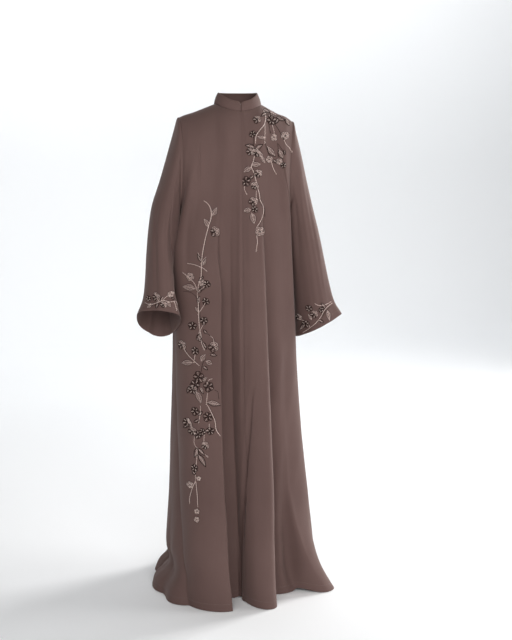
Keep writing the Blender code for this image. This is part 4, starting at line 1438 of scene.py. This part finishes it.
def backdrop():
    """A pale floor that curves up into a plain wall."""
    profile = [(-FLOOR_REACH, 0.0), (WALL_FOOT, 0.0)]
    profile += [(WALL_FOOT + WALL_CURVE * math.sin(a), WALL_CURVE - WALL_CURVE * math.cos(a))
                for a in np.linspace(WALL_CURVE_START, math.pi / 2, WALL_CURVE_POINTS)]
    profile += [(WALL_FOOT + WALL_CURVE, WALL_TOP)]
    points = [(x, y, FLOOR_Z + z) for x in (-FLOOR_REACH, FLOOR_REACH) for y, z in profile]
    count = len(profile)
    faces = [(k, count + k, count + k + 1, k + 1) for k in range(count - 1)]
    mesh = smooth_mesh("backdrop", points, faces)
    material, shader, put = node_material("studio_paper")
    place = put("ShaderNodeTexCoord").outputs["Object"]
    tone = put("ShaderNodeTexNoise", Vector=place, Scale=0.6, Detail=1.0)
    put(shader, Base_Color=colour_ramp(put, tone, PAPER), Roughness=0.9, Specular_IOR_Level=0.1)
    mesh.materials.append(material)
    return new_object("backdrop", mesh)


def studio():
    """The backdrop, soft lights and the camera."""
    backdrop()
    scene = bpy.context.scene
    scene.view_settings.view_transform = "Standard"
    world = bpy.data.worlds.new("studio_air")
    world.use_nodes = True
    put = node_setter(world.node_tree)
    put(world.node_tree.nodes["Background"], Color=AIR_COLOUR, Strength=AIR)
    scene.world = world
    for name, place, aim, size, power, colour in LAMPS:
        light = bpy.data.lights.new(name, "AREA")
        light.shape, light.size, light.size_y = "RECTANGLE", size[0], size[1]
        light.energy, light.color = power, colour
        lamp = bpy.data.objects.new(name, light)
        lamp.location = place
        lamp.rotation_euler = (Vector(aim) - Vector(place)).to_track_quat("-Z", "Y").to_euler()
        scene.collection.objects.link(lamp)

    looking, pitch = math.radians(CAMERA_TURN), math.radians(CAMERA_PITCH)
    ahead = Vector((-math.sin(looking) * math.cos(pitch), math.cos(looking) * math.cos(pitch),
                    math.sin(pitch)))
    right = Vector((math.cos(looking), math.sin(looking), 0.0))
    up = right.cross(ahead)
    turn = Matrix((right, up, -ahead)).transposed().to_4x4()
    lens = bpy.data.cameras.new("camera")
    lens.lens, lens.sensor_width = CAMERA_LENS
    camera = bpy.data.objects.new("camera", lens)
    camera.matrix_world = Matrix.Translation(CAMERA_PLACE) @ turn
    scene.collection.objects.link(camera)
    scene.camera = camera


def sewing(grids):
    """The embroidery and the stitches that are sewn on each panel, by the panel's name."""
    silk = {name: thread_material(name, *row) for name, row in THREADS.items()}
    glass = {name: bead_material(name, *row) for name, row in GLASS.items()}
    bead, stitch = seed_bead(), stitch_loop()
    trees = {
        "pale_cords": cord_tree(silk["pale_silk"]),
        "dark_cords": cord_tree(silk["dark_silk"]),
        "pale_beads": repeat_tree("pale_beads_on_lines", bead, glass["rose_glass"], 3),
        "dark_beads": repeat_tree("dark_beads_on_lines", bead, glass["jet_glass"], 5),
        "stitches": repeat_tree("stitches_on_lines", stitch, silk["sewing_thread"], 7),
    }
    trees["pale_threads"] = trees["pale_cords"]

    pieces = {node: [] for node in grids}
    for name, (drawing, nodes) in VINES.items():
        vine = Vine([grids[node] for node in nodes])
        for part, draw in (("stems", stem), ("flowers", flower), ("leaves", leaf)):
            for row in drawing[part]:
                draw(vine, *row)
        pieces[nodes[0]] += [
            sewn(f"{name}_vine_{kind}", lines, *trees[kind], EMBROIDERY[kind])
            for kind, lines in vine.work.items()
        ]
    for node, distance in HEM_STITCHES.items():
        line = beside_hem(grids[node][:, LAP_COLUMNS if node == "left_front" else 0:], distance)
        row = sewn(f"{node}_stitches", [(line, 0.0)], *trees["stitches"], STITCHES)
        pieces[node].append(row)
    for item in (bead, stitch):
        bpy.data.objects.remove(item, do_unlink=True)
    return pieces


def cloak():
    """Every piece of the cloak, tied to the solid that it stands for."""
    crepe = {name: crepe_material(name, *tones) for name, tones in CREPE.items()}
    grids = {
        "right_front": right_front(),
        "left_front": left_front(),
        "back": back(),
        "right_sleeve": sleeve("right"),
        "left_sleeve": sleeve("left")[:, ::-1],
        "collar": collar(),
    }
    grids = {node: rounded_shoulders(grid) for node, grid in grids.items()}
    pieces = {}
    for node, points in grids.items():
        closed = node.endswith("sleeve")
        # The collar takes the darker copy of the crepe, a painted shade
        name, wall = ("collar_crepe", COLLAR_CLOTH) if node == "collar" else ("crepe", CLOTH)
        points = folded_edges(points, **EDGE_TURNS.get(node, {}))
        pieces[node] = cloth_piece(f"{node}_cloth", points, closed, wall, crepe[name])
        if closed:
            grids[node] = joined(grids[node])
    with_pieces = sewing(grids)

    for node, cloth in pieces.items():
        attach(cloth, "root")
        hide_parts(node)
        for piece in with_pieces[node]:
            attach(piece, "root")


def main():
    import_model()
    cloak()
    studio()


main()
